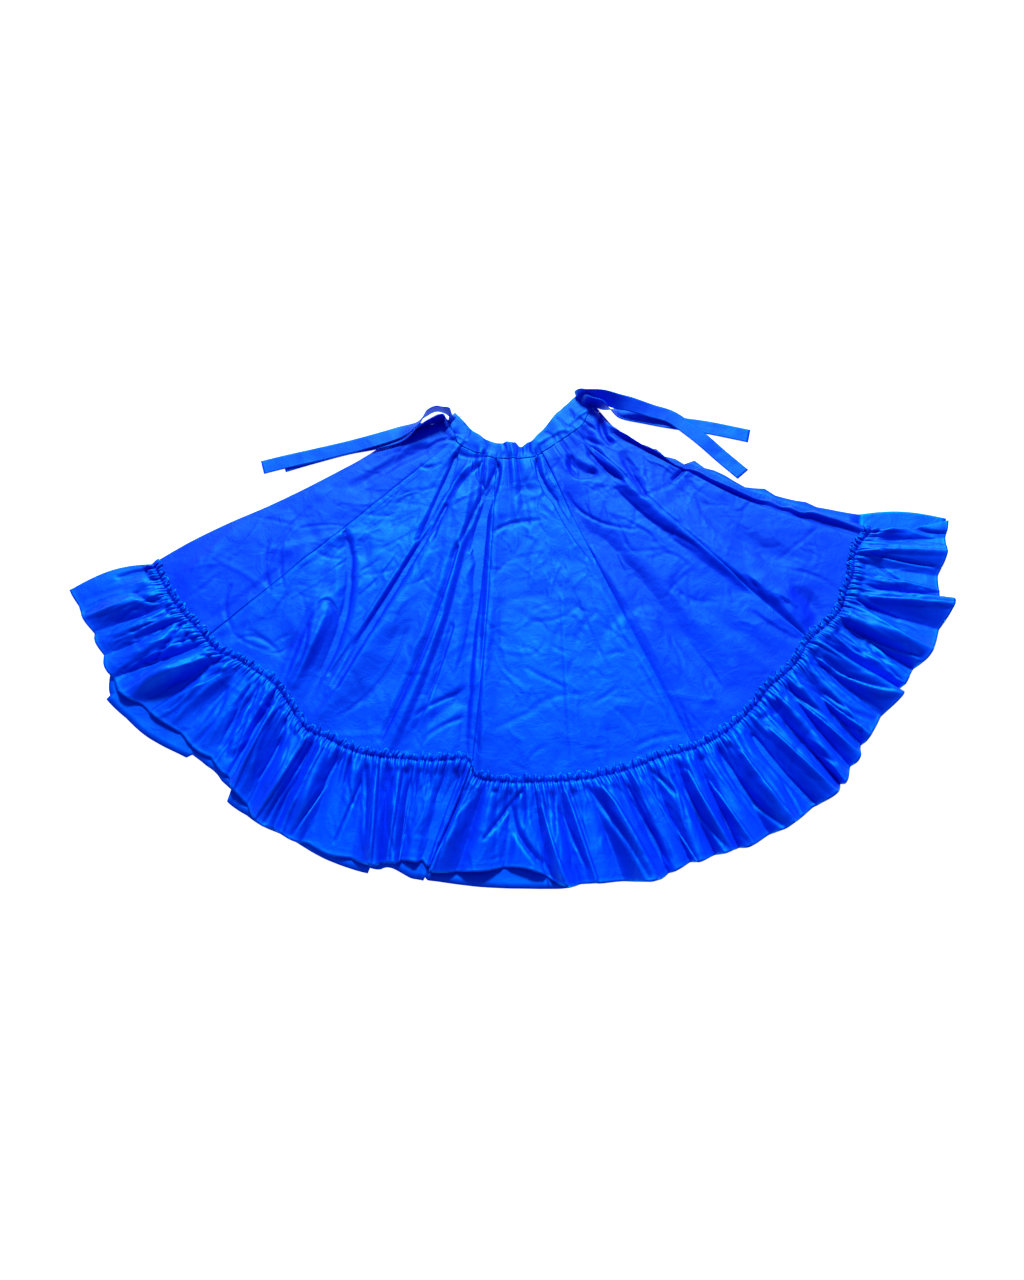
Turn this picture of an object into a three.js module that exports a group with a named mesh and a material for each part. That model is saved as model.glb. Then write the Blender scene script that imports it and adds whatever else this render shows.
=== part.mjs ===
import * as THREE from 'three';

// A folklorico skirt laid out on the floor, in millimetres: x to the wearer's side, y towards the
// waist, z up. The front lies on the back, and every piece of cloth is a thin closed wall.

// Cloth
const CLOTH = 1.8;                 // thickness of one layer
const BAND_CLOTH = 2.6;            // the waistbands are folded double
const SEAM_GAP = 0.3;              // clear space between two pieces
const END_SHIFT = 0.7 * SEAM_GAP;    // how far each end of a wall is drawn in
const SAME_PLACE = 1e-6;
const BACK_LEVEL = CLOTH / 2;      // middle of the back layer, flat on the floor
const FRONT_LEVEL = CLOTH * 1.5 + SEAM_GAP;

// Ruffle
const HEADING = 13;                // gathered edge standing above the stitch line
const TUCK = 6;                    // panel edge hidden under the ruffle
const SEAM_GATHERS = 140;          // small gathers along the front stitch line
const HEADING_RISE = 4.2;
const STITCH_RISE = 1.0;
const HEADING_CLEARANCE = 1.5;     // keeps the heading clear of the panel's flat facets
const HEADING_ROOM = 17;           // the panels' last level row before the stitch line
const GATHER_RISE = 4.0;
const GATHER_UNEVEN = 0.3;         // unevenness of their height
const VALLEY_DIP = 0.035;          // how far the hem draws in between two folds
const LEFT_END_BULGE = 17;
const RIGHT_END_BULGE = -8;
const BACK_RIGHT_BULGE = 12;
const GATHER_JITTER = 0.22;        // unevenness of the small gathers' spacing
const CREST_POWER = 0.8;           // below 1 the crests are broader than the valleys
const PUFF_DROP = 0.3;             // share of the drop over which the ruffle comes down off the panels
const ASIDE = 0.05;                // folds to each side at which the hem's direction is taken

// Waist
const WAIST_GATHERS = 24;
const WAIST_RISE = 4.5;
const WAIST_FADE = 0.24;           // share of the panel length over which the gathers run out
const WAIST_UNEVEN = 0.5;
const WAIST_START = 0.35;          // share of a gather's rise right at the band
const WAIST_SWELL = 10;            // how fast a gather rises from there down the panel
const SEAM_CALM = 0.35;            // how much the stitch line flattens the panels' folds
const CALM_FROM = 0.85;            // share of the panel length at which that begins
const PUFF = 7;                    // how high the front lies above the back between its folds

// Ties
const TIE_WIDTH = 33;
const TIE_STEPS = 26;
const TIE_ASIDE = 0.02;            // table rows to each side at which a tie's direction is taken

// Folds of the front ruffle from the left side to the right. Each row is one crest, from the stitch
// line to the hem: its rise at the hem, how far it leans to the right, and how far the back
// ruffle's hem shows beyond it.
const RUFFLE_FOLDS = [
  { seamX: -726, seamY: 166, hemX: -884, hemY: 108, rise: 0, lean: 0, back: -2 },
  { seamX: -686, seamY: 99, hemX: -842, hemY: 38, rise: 14, lean: -4, back: -6 },
  { seamX: -654, seamY: 57, hemX: -809, hemY: -15, rise: 12, lean: -4, back: -8 },
  { seamX: -612, seamY: 13, hemX: -787, hemY: -60, rise: 15, lean: 3, back: -10 },
  { seamX: -572, seamY: -30, hemX: -751, hemY: -112, rise: 26, lean: 12, back: 18 },
  { seamX: -532, seamY: -47, hemX: -667, hemY: -170, rise: 11, lean: -5, back: 38 },
  { seamX: -489, seamY: -75, hemX: -589, hemY: -231, rise: 8, lean: -3, back: 16 },
  { seamX: -463, seamY: -93, hemX: -545, hemY: -266, rise: 9, lean: 5, back: 8 },
  { seamX: -434, seamY: -126, hemX: -507, hemY: -314, rise: 22, lean: -8, back: 14 },
  { seamX: -390, seamY: -188, hemX: -463, hemY: -368, rise: 18, lean: 5, back: 0 },
  { seamX: -343, seamY: -211, hemX: -407, hemY: -398, rise: 20, lean: 10, back: -4 },
  { seamX: -296, seamY: -234, hemX: -329, hemY: -428, rise: 5, lean: 0, back: 8 },
  { seamX: -251, seamY: -245, hemX: -254, hemY: -449, rise: 16, lean: 3, back: 8 },
  { seamX: -207, seamY: -249, hemX: -220, hemY: -447, rise: 18, lean: 8, back: 2 },
  { seamX: -149, seamY: -253, hemX: -177, hemY: -442, rise: 6, lean: 3, back: 26 },
  { seamX: -84, seamY: -251, hemX: -152, hemY: -448, rise: 4, lean: 0, back: 24 },
  { seamX: -67, seamY: -284, hemX: -136, hemY: -464, rise: 22, lean: -6, back: 10 },
  { seamX: -22, seamY: -294, hemX: -55, hemY: -460, rise: 13, lean: -5, back: 24 },
  { seamX: 20, seamY: -295, hemX: 25, hemY: -455, rise: 10, lean: 6, back: 32 },
  { seamX: 60, seamY: -294, hemX: 97, hemY: -488, rise: 22, lean: -6, back: -2 },
  { seamX: 111, seamY: -291, hemX: 149, hemY: -481, rise: 10, lean: 4, back: -8 },
  { seamX: 164, seamY: -283, hemX: 254, hemY: -479, rise: 26, lean: -10, back: -8 },
  { seamX: 227, seamY: -266, hemX: 301, hemY: -454, rise: 13, lean: -4, back: -8 },
  { seamX: 273, seamY: -247, hemX: 341, hemY: -442, rise: 18, lean: -5, back: -8 },
  { seamX: 316, seamY: -236, hemX: 392, hemY: -426, rise: 25, lean: -9, back: -8 },
  { seamX: 356, seamY: -222, hemX: 433, hemY: -413, rise: 16, lean: -6, back: -8 },
  { seamX: 403, seamY: -196, hemX: 508, hemY: -375, rise: 26, lean: -10, back: -8 },
  { seamX: 459, seamY: -146, hemX: 594, hemY: -317, rise: 22, lean: -8, back: -8 },
  { seamX: 495, seamY: -103, hemX: 618, hemY: -288, rise: 20, lean: -8, back: -8 },
  { seamX: 527, seamY: -77, hemX: 646, hemY: -246, rise: 14, lean: -5, back: -8 },
  { seamX: 557, seamY: -45, hemX: 673, hemY: -201, rise: 16, lean: -6, back: -8 },
  { seamX: 577, seamY: -11, hemX: 735, hemY: -132, rise: 24, lean: 6, back: -8 },
  { seamX: 609, seamY: 19, hemX: 757, hemY: -92, rise: 17, lean: -6, back: -8 },
  { seamX: 648, seamY: 57, hemX: 809, hemY: -36, rise: 28, lean: -10, back: -8 },
  { seamX: 668, seamY: 104, hemX: 871, hemY: 67, rise: 20, lean: 8, back: -16 },
  { seamX: 686, seamY: 144, hemX: 849, hemY: 94, rise: 8, lean: 0, back: -8 },
  { seamX: 698, seamY: 194, hemX: 879, hemY: 190, rise: 14, lean: -5, back: -4 },
  { seamX: 740, seamY: 250, hemX: 897, hemY: 268, rise: 4, lean: 0, back: -2 },
];
const LAST_FOLD = RUFFLE_FOLDS.length - 1;

// Lines of the front from the waistband's top edge, over its seam and half-way down the panels.
// `fold` is the place on the stitch line, counted in ruffle folds, that each line runs to.
const RIBS = [
  { fold: 0, topX: -123, topY: 538, waistX: -159, waistY: 491, midX: -439, midY: 343 },
  { fold: 3.3, topX: -97, topY: 506, waistX: -125, waistY: 463, midX: -360, midY: 234 },
  { fold: 9, topX: -80, topY: 485, waistX: -99, waistY: 447, midX: -247, midY: 140 },
  { fold: 12, topX: -60, topY: 468, waistX: -73, waistY: 433, midX: -131, midY: 95 },
  { fold: 15, topX: -30, topY: 456, waistX: -40, waistY: 420, midX: -58, midY: 87 },
  { fold: 18, topX: 4, topY: 452, waistX: 5, waistY: 417, midX: 20, midY: 80 },
  { fold: 21, topX: 28, topY: 450, waistX: 34, waistY: 419, midX: 104, midY: 93 },
  { fold: 24.7, topX: 50, topY: 471, waistX: 62, waistY: 432, midX: 191, midY: 123 },
  { fold: 31, topX: 97, topY: 533, waistX: 134, waistY: 489, midX: 348, midY: 234 },
  { fold: 34, topX: 115, topY: 556, waistX: 161, waistY: 512, midX: 410, midY: 309 },
  { fold: LAST_FOLD, topX: 139, topY: 582, waistX: 189, waistY: 539, midX: 439, midY: 358 },
];

// The back's right edge, which shows beyond the front's.
const BACK_RIGHT = { fold: LAST_FOLD, topX: 155, topY: 605, waistX: 190, waistY: 546,
  midX: 447, midY: 376, seamX: 716, seamY: 286, hemX: 898, hemY: 276 };
const BACK_RIGHT_REACH = 3;        // folds over which the back leaves the front's shape

// How far the side edges swing out from the plain line, at a share of the way down.
const SIDES = [
  { down: 0, left: 0, right: 0, back: 0 },
  { down: 0.12, left: 0, right: -12, back: -32 },
  { down: 0.25, left: 12, right: -4, back: -15 },
  { down: 0.33, left: 8, right: -10, back: -7 },
  { down: 0.4, left: 4, right: 7, back: 5 },
  { down: 0.5, left: 0, right: 0, back: 3 },
  { down: 0.62, left: 0, right: 1, back: 1 },
  { down: 0.75, left: 6, right: 8, back: 4 },
  { down: 0.88, left: 8, right: 11, back: 0 },
  { down: 1, left: 3, right: 0, back: 0 },
];
const SIDE_REACH = 2.5;            // folds over which a side's swing dies out

// Large folds of the front panels: top, middle and end of each line, its width, its height
// (a trough where negative) and the side on which it is steep (-1 left, 1 right).
const PANEL_FOLDS = [
  { topX: -189, topY: 443, midX: -249, midY: 405, endX: -328, endY: 349, width: 26, height: -6, steep: 0 },
  { topX: -557, topY: 279, midX: -619, midY: 174, endX: -645, endY: 75, width: 56, height: 6, steep: 0 },
  { topX: -376, topY: 77, midX: -400, midY: -15, endX: -440, endY: -116, width: 38, height: 10, steep: 0 },
  { topX: -340, topY: 214, midX: -335, midY: 40, endX: -406, endY: -154, width: 30, height: -8, steep: 0 },
  { topX: -117, topY: 425, midX: -194, midY: 199, endX: -348, endY: -74, width: 26, height: -9, steep: -1 },
  { topX: -134, topY: 329, midX: -231, midY: 87, endX: -370, endY: -179, width: 46, height: 9, steep: -1 },
  { topX: -86, topY: 378, midX: -137, midY: 57, endX: -237, endY: -239, width: 38, height: 9, steep: 1 },
  { topX: -46, topY: 324, midX: -72, midY: 55, endX: -88, endY: -243, width: 28, height: -8, steep: 1 },
  { topX: -34, topY: 373, midX: -48, midY: 85, endX: -56, endY: -273, width: 30, height: 6, steep: -1 },
  { topX: -84, topY: -114, midX: -131, midY: -150, endX: -199, endY: -224, width: 30, height: -5, steep: 0 },
  { topX: 60, topY: 368, midX: 189, midY: 125, endX: 343, endY: -232, width: 22, height: -4, steep: 0 },
  { topX: 104, topY: 314, midX: 237, midY: 140, endX: 408, endY: -104, width: 62, height: -8, steep: 0 },
  { topX: 184, topY: 418, midX: 348, midY: 234, endX: 522, endY: 91, width: 64, height: 16, steep: -1 },
  { topX: 497, topY: 107, midX: 549, midY: 51, endX: 589, endY: -11, width: 44, height: 10, steep: -1 },
  { topX: 159, topY: 491, midX: 181, midY: 418, endX: 223, endY: 359, width: 24, height: -8, steep: 0 },
  { topX: 127, topY: 403, midX: 147, midY: 389, endX: 171, endY: 377, width: 26, height: -8, steep: 0 },
  { topX: 237, topY: 425, midX: 255, midY: 378, endX: 275, endY: 324, width: 22, height: -6, steep: 0 },
  { topX: 403, topY: 296, midX: 450, midY: 234, endX: 545, endY: 178, width: 44, height: -5, steep: 0 },
  { topX: 571, topY: 93, midX: 599, midY: 55, endX: 577, endY: 11, width: 34, height: -7, steep: 0 },
];
const STEEPNESS = 0.45;            // share by which the steep flank of a fold is narrower
const FOLD_STEPS = 24;             // points at which a fold's line is tried for the nearest
const FOLD_REACH = 0.8;            // half of a fold's foot, as a share of its width
const FOLD_START = 0.12;           // a fold swells and dies out like a sine wave between these
const FOLD_END = 0.92;

// Gores between the two sides: where each begins and ends on the stitch line, in ruffle folds.
const GORES = [
  { name: 'left_side_gore', from: 0, to: 3.3, columns: 12 },
  { name: 'left_gore', from: 3.3, to: 15.4, columns: 36 },
  { name: 'centre_gore', from: 15.4, to: 24.7, columns: 26 },
  { name: 'right_gore', from: 24.7, to: 31.2, columns: 21 },
  { name: 'right_side_gore', from: 31.2, to: LAST_FOLD, columns: 17 },
];
const GORE_DOWN = [0, 0.07, 0.15, 0.25, 0.37, 0.5, 0.63, 0.76, 0.88];
const BACK_GORE_DOWN = [0, 0.12, 0.25, 0.33, 0.4, 0.62, 0.75, 0.88];

// Joined lengths of ruffle.
const RUFFLE_LENGTHS = [
  { name: 'ruffle_1', from: 0, to: 9.5 },
  { name: 'ruffle_2', from: 9.5, to: 18.5 },
  { name: 'ruffle_3', from: 18.5, to: 27.5 },
  { name: 'ruffle_4', from: 27.5, to: LAST_FOLD },
];
// Rows of the front ruffle below the stitch line: share of the drop, share of each fold's rise,
// and share of the small gathers' rise.
const RUFFLE_DOWN = [
  { drop: 0.09, rise: 0.45, gather: 1 },
  { drop: 0.36, rise: 0.9, gather: 0 },
  { drop: 0.68, rise: 1.1, gather: 0 },
  { drop: 1, rise: 1, gather: 0 },
];
const COLUMNS_PER_FOLD = 4;

// Paths of the ties: middle line, height of the middle, and turn about it (90 stands on edge).
const TIES = {
  tie_left_back: [
    { x: -130.9, y: 528.1, z: 18.7, turn: 85 },
    { x: -148, y: 537, z: 18, turn: 77 },
    { x: -165, y: 540, z: 17.7, turn: 75 },
    { x: -185, y: 527, z: 17.7, turn: 75 },
    { x: -205, y: 503, z: 15.5, turn: 45 },
    { x: -240, y: 483, z: 12.5, turn: 12 },
    { x: -290, y: 464, z: 11.5, turn: 4 },
    { x: -350, y: 447, z: 7.6, turn: 2 },
    { x: -420, y: 429, z: 4.8, turn: 0 },
    { x: -480, y: 413, z: 4.2, turn: 0 },
    { x: -526, y: 399, z: 4.2, turn: 0 },
  ],
  tie_left_front: [
    { x: -143.7, y: 512, z: 18.7, turn: 88 },
    { x: -176, y: 502, z: 18.3, turn: 78 },
    { x: -204, y: 487, z: 15.5, turn: 60 },
    { x: -238, y: 473, z: 9.2, turn: 18 },
    { x: -290, y: 458, z: 7.8, turn: 4 },
    { x: -350, y: 448, z: 3.6, turn: 0 },
    { x: -420, y: 427, z: 1.3, turn: 0 },
    { x: -482, y: 405, z: 1.3, turn: 0 },
  ],
  tie_right_back: [
    { x: 157, y: 579, z: 18.7, turn: 88 },
    { x: 195, y: 570, z: 21, turn: 62 },
    { x: 228, y: 554, z: 25, turn: 32 },
    { x: 255, y: 550, z: 21, turn: 14 },
    { x: 300, y: 539, z: 12, turn: 4 },
    { x: 342, y: 527, z: 6.6, turn: 0 },
    { x: 380, y: 495, z: 5.3, turn: 0 },
    { x: 412, y: 463, z: 4.4, turn: 0 },
    { x: 444, y: 429, z: 1.6, turn: 0 },
    { x: 486, y: 384, z: 1.3, turn: 0 },
  ],
  tie_right_front: [
    { x: 167, y: 560, z: 18.9, turn: 90 },
    { x: 195, y: 549, z: 18.9, turn: 92 },
    { x: 215, y: 541, z: 14, turn: 132 },
    { x: 238, y: 536, z: 6.4, turn: 170 },
    { x: 290, y: 527, z: 2.6, turn: 178 },
    { x: 350, y: 515, z: 1.3, turn: 180 },
    { x: 420, y: 503, z: 1.3, turn: 180 },
    { x: 508, y: 481, z: 1.3, turn: 180 },
  ],
};

// Waistbands: rows from the top edge to the waist seam, just short of the panels.
const BAND_COLUMNS = 34;
const BAND_DOWN = [0, 0.5, 0.97];
const BACK_BAND_DOWN = [0, 0.99];
const BAND_RIPPLE = 3;             // height of the ripples along the top edge
const BAND_RIPPLES = 11;
const BAND_CLEARANCE = 1.6;        // above the back band
const BAND_SEAM_LIFT = 2;          // extra height at the waist seam
const BAND_LIFT = { middle: 9, ends: 3 };
const BAND_BACK_REACH = 9;         // folds over which the back band leaves the front's shape

const taffeta = new THREE.MeshStandardMaterial({ name: 'blue_taffeta', color: 0x0055ff, roughness: 0.45 });

// Smooth value of a column of a table at a place between its rows. `key` names the column that
// holds each row's place; without it the rows are one apart.
function along(table, column, place, key) {
  const at = (i) => (key ? table[i][key] : i);
  let i = 0;
  while (i < table.length - 2 && at(i + 1) < place) {
    i += 1;
  }
  const slope = (j) => {
    const a = Math.max(j - 1, 0);
    const b = Math.min(j + 1, table.length - 1);
    return (table[b][column] - table[a][column]) / (at(b) - at(a));
  };
  const span = at(i + 1) - at(i);
  const t = THREE.MathUtils.clamp((place - at(i)) / span, 0, 1);
  const t2 = t * t;
  const t3 = t2 * t;
  return table[i][column] * (2 * t3 - 3 * t2 + 1)
    + slope(i) * span * (t3 - 2 * t2 + t)
    + table[i + 1][column] * (3 * t2 - 2 * t3)
    + slope(i + 1) * span * (t3 - t2);
}

function point(table, name, place, key) {
  return new THREE.Vector3(along(table, `${name}X`, place, key), along(table, `${name}Y`, place, key), 0);
}

const BACK_RIBS = [...RIBS.slice(0, -1), BACK_RIGHT];
const BACK_FOLDS = [...RUFFLE_FOLDS.slice(0, -1), { ...RUFFLE_FOLDS[LAST_FOLD], ...BACK_RIGHT }];

// Repeatable unevenness between -1 and 1, different for every whole number.
function uneven(n) {
  const wave = Math.sin(n * 12.9898 + 4.1414) * 43758.5453;
  return 2 * (wave - Math.floor(wave)) - 1;
}

// Plan position on a layer's panels: `fold` across, `down` 0 at the waist to 1 at the stitch line.
function panelPlan(fold, down, ribs, folds, rightSwing) {
  const waist = point(ribs, 'waist', fold, 'fold');
  const mid = point(ribs, 'mid', fold, 'fold');
  const seam = point(folds, 'seam', fold);
  const p = waist.multiplyScalar((1 - down) * (1 - 2 * down))
    .addScaledVector(mid, 4 * down * (1 - down))
    .addScaledVector(seam, down * (2 * down - 1));
  const left = Math.max(0, 1 - fold / SIDE_REACH) ** 2;
  const right = Math.max(0, 1 - (LAST_FOLD - fold) / SIDE_REACH) ** 2;
  p.y += left * along(SIDES, 'left', down, 'down') + right * along(SIDES, rightSwing, down, 'down');
  return p;
}

// Height that one fold gives to a plan position.
function foldHeight(row, p) {
  const start = new THREE.Vector3(row.topX, row.topY, 0);
  const end = new THREE.Vector3(row.endX, row.endY, 0);
  const control = new THREE.Vector3(row.midX, row.midY, 0).multiplyScalar(2)
    .addScaledVector(start, -0.5)
    .addScaledVector(end, -0.5);
  const line = new THREE.QuadraticBezierCurve3(start, control, end);
  let nearest = Infinity;
  let share = 0;
  let side = 1;
  for (let i = 0; i <= FOLD_STEPS; i += 1) {
    const q = line.getPoint(i / FOLD_STEPS);
    const d = q.distanceTo(p);
    if (d < nearest) {
      const run = line.getTangent(i / FOLD_STEPS);
      nearest = d;
      share = i / FOLD_STEPS;
      side = Math.sign(run.x * (p.y - q.y) - run.y * (p.x - q.x));
    }
  }
  const reach = FOLD_REACH * row.width * (1 - row.steep * side * STEEPNESS);
  const across = Math.min(1, nearest / reach);
  const ends = Math.sqrt(Math.sin(Math.PI * THREE.MathUtils.lerp(FOLD_START, FOLD_END, share)));
  return row.height * ends * (Math.cos(Math.PI * across) + 1) / 2;
}

// Length along the front waist seam, as a share of the whole, at each place.
const WAIST_STEPS = 200;
const waistShares = [0];
for (let i = 1; i <= WAIST_STEPS; i += 1) {
  const a = point(RIBS, 'waist', LAST_FOLD * (i - 1) / WAIST_STEPS, 'fold');
  const b = point(RIBS, 'waist', LAST_FOLD * i / WAIST_STEPS, 'fold');
  waistShares.push(waistShares[i - 1] + a.distanceTo(b));
}

function waistShare(fold) {
  const step = THREE.MathUtils.clamp(WAIST_STEPS * fold / LAST_FOLD, 0, WAIST_STEPS);
  const i = Math.min(Math.floor(step), WAIST_STEPS - 1);
  const share = THREE.MathUtils.lerp(waistShares[i], waistShares[i + 1], step - i);
  return share / waistShares[WAIST_STEPS];
}

// Height of the front panels' middle above the level at which they would lie flat.
function frontRise(fold, down, p) {
  const inset = Math.min(fold, LAST_FOLD - fold, 1);
  const side = Math.sin(Math.PI / 2 * Math.max(0, inset));
  const share = WAIST_GATHERS * waistShare(fold);
  const swell = 1 + WAIST_UNEVEN * uneven(Math.floor(share));
  const fade = Math.max(0, 1 - down / (WAIST_FADE * swell)) * Math.min(1, WAIST_START + WAIST_SWELL * down);
  const gathers = WAIST_RISE * swell * fade * (1 - Math.cos(2 * Math.PI * share));
  const folds = PANEL_FOLDS.reduce((sum, row) => sum + foldHeight(row, p), 0);
  const calm = 1 - SEAM_CALM * THREE.MathUtils.smoothstep(down, CALM_FROM, 1);
  return side * Math.max(0, PUFF * calm + folds * calm + gathers);
}

function frontPanel(fold, down) {
  const p = panelPlan(fold, down, RIBS, RUFFLE_FOLDS, 'right');
  p.z = FRONT_LEVEL + frontRise(fold, Math.min(down, 1), p);
  return p;
}

function backPanel(fold, down) {
  const near = THREE.MathUtils.clamp(1 - (LAST_FOLD - fold) / BACK_RIGHT_REACH, 0, 1);
  const front = panelPlan(fold, down, RIBS, RUFFLE_FOLDS, 'right');
  const own = panelPlan(fold, down, BACK_RIBS, BACK_FOLDS, 'back');
  const p = front.lerp(own, near);
  p.z = BACK_LEVEL;
  return p;
}

// Triangles between rows of points. Rows may differ in length; `s` on each point says how far
// across it is, so that neighbouring rows are joined in step.
function netFaces(rows) {
  const faces = [];
  for (let r = 0; r + 1 < rows.length; r += 1) {
    const a = rows[r];
    const b = rows[r + 1];
    let i = 0;
    let j = 0;
    while (i < a.length - 1 || j < b.length - 1) {
      const nextA = i < a.length - 1 ? a[i + 1].s : Infinity;
      const nextB = j < b.length - 1 ? b[j + 1].s : Infinity;
      if (nextA <= nextB) {
        faces.push([a[i], b[j], a[i + 1]]);
        i += 1;
      } else {
        faces.push([a[i], b[j], b[j + 1]]);
        j += 1;
      }
    }
  }
  return faces;
}

// Middle surface of a whole layer, each point with its normal, ready to be cut into pieces.
function surface(rows) {
  for (const p of rows.flat()) {
    p.normal = new THREE.Vector3();
  }
  for (const [a, b, c] of netFaces(rows)) {
    const n = b.clone().sub(a).cross(c.clone().sub(a));
    a.normal.add(n);
    b.normal.add(n);
    c.normal.add(n);
  }
  for (const p of rows.flat()) {
    p.normal.normalize();
  }
  return rows;
}

// Closed wall over the part of a surface between two places across it. Both ends are drawn in by
// half a seam gap.
function wall(name, layer, thickness, from = -Infinity, to = Infinity) {
  const rows = layer.map((points) => {
    const kept = points.filter((p) => p.s > from - SAME_PLACE && p.s < to + SAME_PLACE);
    return kept.map((p, i) => {
      const inward = i === 0 ? kept[1] : kept[kept.length - 2];
      const atEnd = i === 0 || i === kept.length - 1;
      const shift = inward.clone().sub(p).setLength(atEnd ? END_SHIFT : 0);
      const top = p.clone().add(shift).addScaledVector(p.normal, thickness / 2);
      top.bottom = p.clone().add(shift).addScaledVector(p.normal, -thickness / 2);
      top.s = p.s;
      return top;
    });
  });
  const tops = rows.flat();
  tops.forEach((p, i) => {
    p.index = i;
  });
  const count = tops.length;
  const triangles = [];
  for (const face of netFaces(rows)) {
    const [a, b, c] = face.map((p) => p.index);
    triangles.push([a, b, c], [a + count, c + count, b + count]);
  }
  const last = rows[rows.length - 1];
  const rim = [
    ...rows.map((points) => points[0]),
    ...last.slice(1),
    ...rows.slice(0, -1).map((points) => points[points.length - 1]).reverse(),
    ...rows[0].slice(1, -1).reverse(),
  ].map((p) => p.index);
  rim.forEach((a, i) => {
    const b = rim[(i + 1) % rim.length];
    triangles.push([a, a + count, b + count], [a, b + count, b]);
  });
  const geometry = new THREE.BufferGeometry();
  const positions = [...tops, ...tops.map((p) => p.bottom)].flatMap((p) => [p.x, p.y, p.z]);
  geometry.setAttribute('position', new THREE.Float32BufferAttribute(positions, 3));
  geometry.setIndex(triangles.flat());
  geometry.computeVertexNormals();
  const mesh = new THREE.Mesh(geometry, taffeta);
  mesh.name = name;
  return mesh;
}

// Row of points, one at each place.
function rowAt(places, place) {
  return places.map((s, i) => {
    const p = place(s, i);
    p.s = s;
    return p;
  });
}

function evenPlaces(from, to, columns) {
  return Array.from({ length: columns + 1 }, (_, i) => from + (to - from) * i / columns);
}

// Places in rising order without repeats.
function merged(places) {
  const sorted = [...places].sort((a, b) => a - b);
  return sorted.filter((s, i) => i === 0 || s - sorted[i - 1] > SAME_PLACE);
}

// Share of the panel length that a distance in millimetres makes up at the stitch line.
function downFor(fold, distance) {
  const share = 0.1;
  const near = panelPlan(fold, 1 - share, RIBS, RUFFLE_FOLDS, 'right');
  const seam = panelPlan(fold, 1, RIBS, RUFFLE_FOLDS, 'right');
  return share * distance / near.distanceTo(seam);
}

const goreEnds = GORES.map((gore) => gore.to);
const ruffleEnds = RUFFLE_LENGTHS.map((length) => length.to);
const wholeFolds = evenPlaces(0, LAST_FOLD, LAST_FOLD);
const panelColumns = merged(GORES.flatMap((gore) => evenPlaces(gore.from, gore.to, gore.columns)));
const backColumns = merged([...wholeFolds, ...goreEnds, ...ruffleEnds]);

function frontPanels() {
  const rows = GORE_DOWN.map((down) => rowAt(panelColumns, (s) => frontPanel(s, down)));
  for (const distance of [-HEADING_ROOM, TUCK]) {
    rows.push(rowAt(panelColumns, (s) => frontPanel(s, 1 + downFor(s, distance))));
  }
  return surface(rows);
}

function backPanels() {
  const rows = BACK_GORE_DOWN.map((down) => rowAt(backColumns, (s) => backPanel(s, down)));
  rows.push(rowAt(backColumns, (s) => backPanel(s, 1 - downFor(s, SEAM_GAP))));
  return surface(rows);
}

// Height of the front panels' facets at the stitch line, beyond it or above it.
function panelLevel(fold, distance) {
  const upper = Math.max(1, panelColumns.findIndex((place) => place >= fold));
  const a = panelColumns[upper - 1];
  const b = panelColumns[upper];
  const t = b > a ? (fold - a) / (b - a) : 0;
  const level = (s, mm) => frontPanel(s, 1 + downFor(s, mm)).z;
  const onLine = (mm) => level(a, mm) * (1 - t) + level(b, mm) * t;
  const share = (distance + HEADING_ROOM) / (HEADING_ROOM + TUCK);
  return onLine(-HEADING_ROOM) * (1 - share) + onLine(TUCK) * share;
}

// Crest shape of the ruffle's folds: 1 on a crest, 0 in a valley.
function crest(fold) {
  return ((1 + Math.cos(2 * Math.PI * fold)) / 2) ** CREST_POWER;
}

// Front ruffle below the stitch line.
function ruffleDrop(fold, step, gather) {
  const seam = point(RUFFLE_FOLDS, 'seam', fold);
  const hem = point(RUFFLE_FOLDS, 'hem', fold);
  const ahead = point(RUFFLE_FOLDS, 'hem', Math.min(fold + ASIDE, LAST_FOLD));
  const behind = point(RUFFLE_FOLDS, 'hem', Math.max(fold - ASIDE, 0));
  const sideways = ahead.sub(behind).normalize();
  const top = crest(fold);
  const inside = Math.min(1, fold, LAST_FOLD - fold);
  const p = seam.clone().lerp(hem, step.drop * (1 - VALLEY_DIP * (1 - top) * step.drop * inside));
  const bulge = Math.sin(Math.PI * step.drop);
  p.y += LEFT_END_BULGE * bulge * Math.max(0, 1 - fold);
  p.y += RIGHT_END_BULGE * bulge * Math.max(0, 1 - LAST_FOLD + fold);
  const rise = along(RUFFLE_FOLDS, 'rise', fold) * step.rise * top;
  p.addScaledVector(sideways, along(RUFFLE_FOLDS, 'lean', fold) * top * step.drop);
  const fromPanel = Math.max(0, 1 - step.drop / PUFF_DROP);
  const puff = (panelLevel(fold, 0) - FRONT_LEVEL) * fromPanel;
  p.z = FRONT_LEVEL + SEAM_GAP + Math.max(0, rise) + Math.max(puff, 0);
  p.z += GATHER_RISE * step.gather * gather;
  return p;
}

// Front ruffle on the panels: the heading and the stitch line.
function ruffleHead(fold, distance, gather) {
  const p = panelPlan(fold, 1 + downFor(fold, distance), RIBS, RUFFLE_FOLDS, 'right');
  const rise = distance < 0 ? HEADING_RISE : STITCH_RISE;
  p.z = panelLevel(fold, distance) + CLOTH + SEAM_GAP + HEADING_CLEARANCE + rise * gather;
  return p;
}

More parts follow.
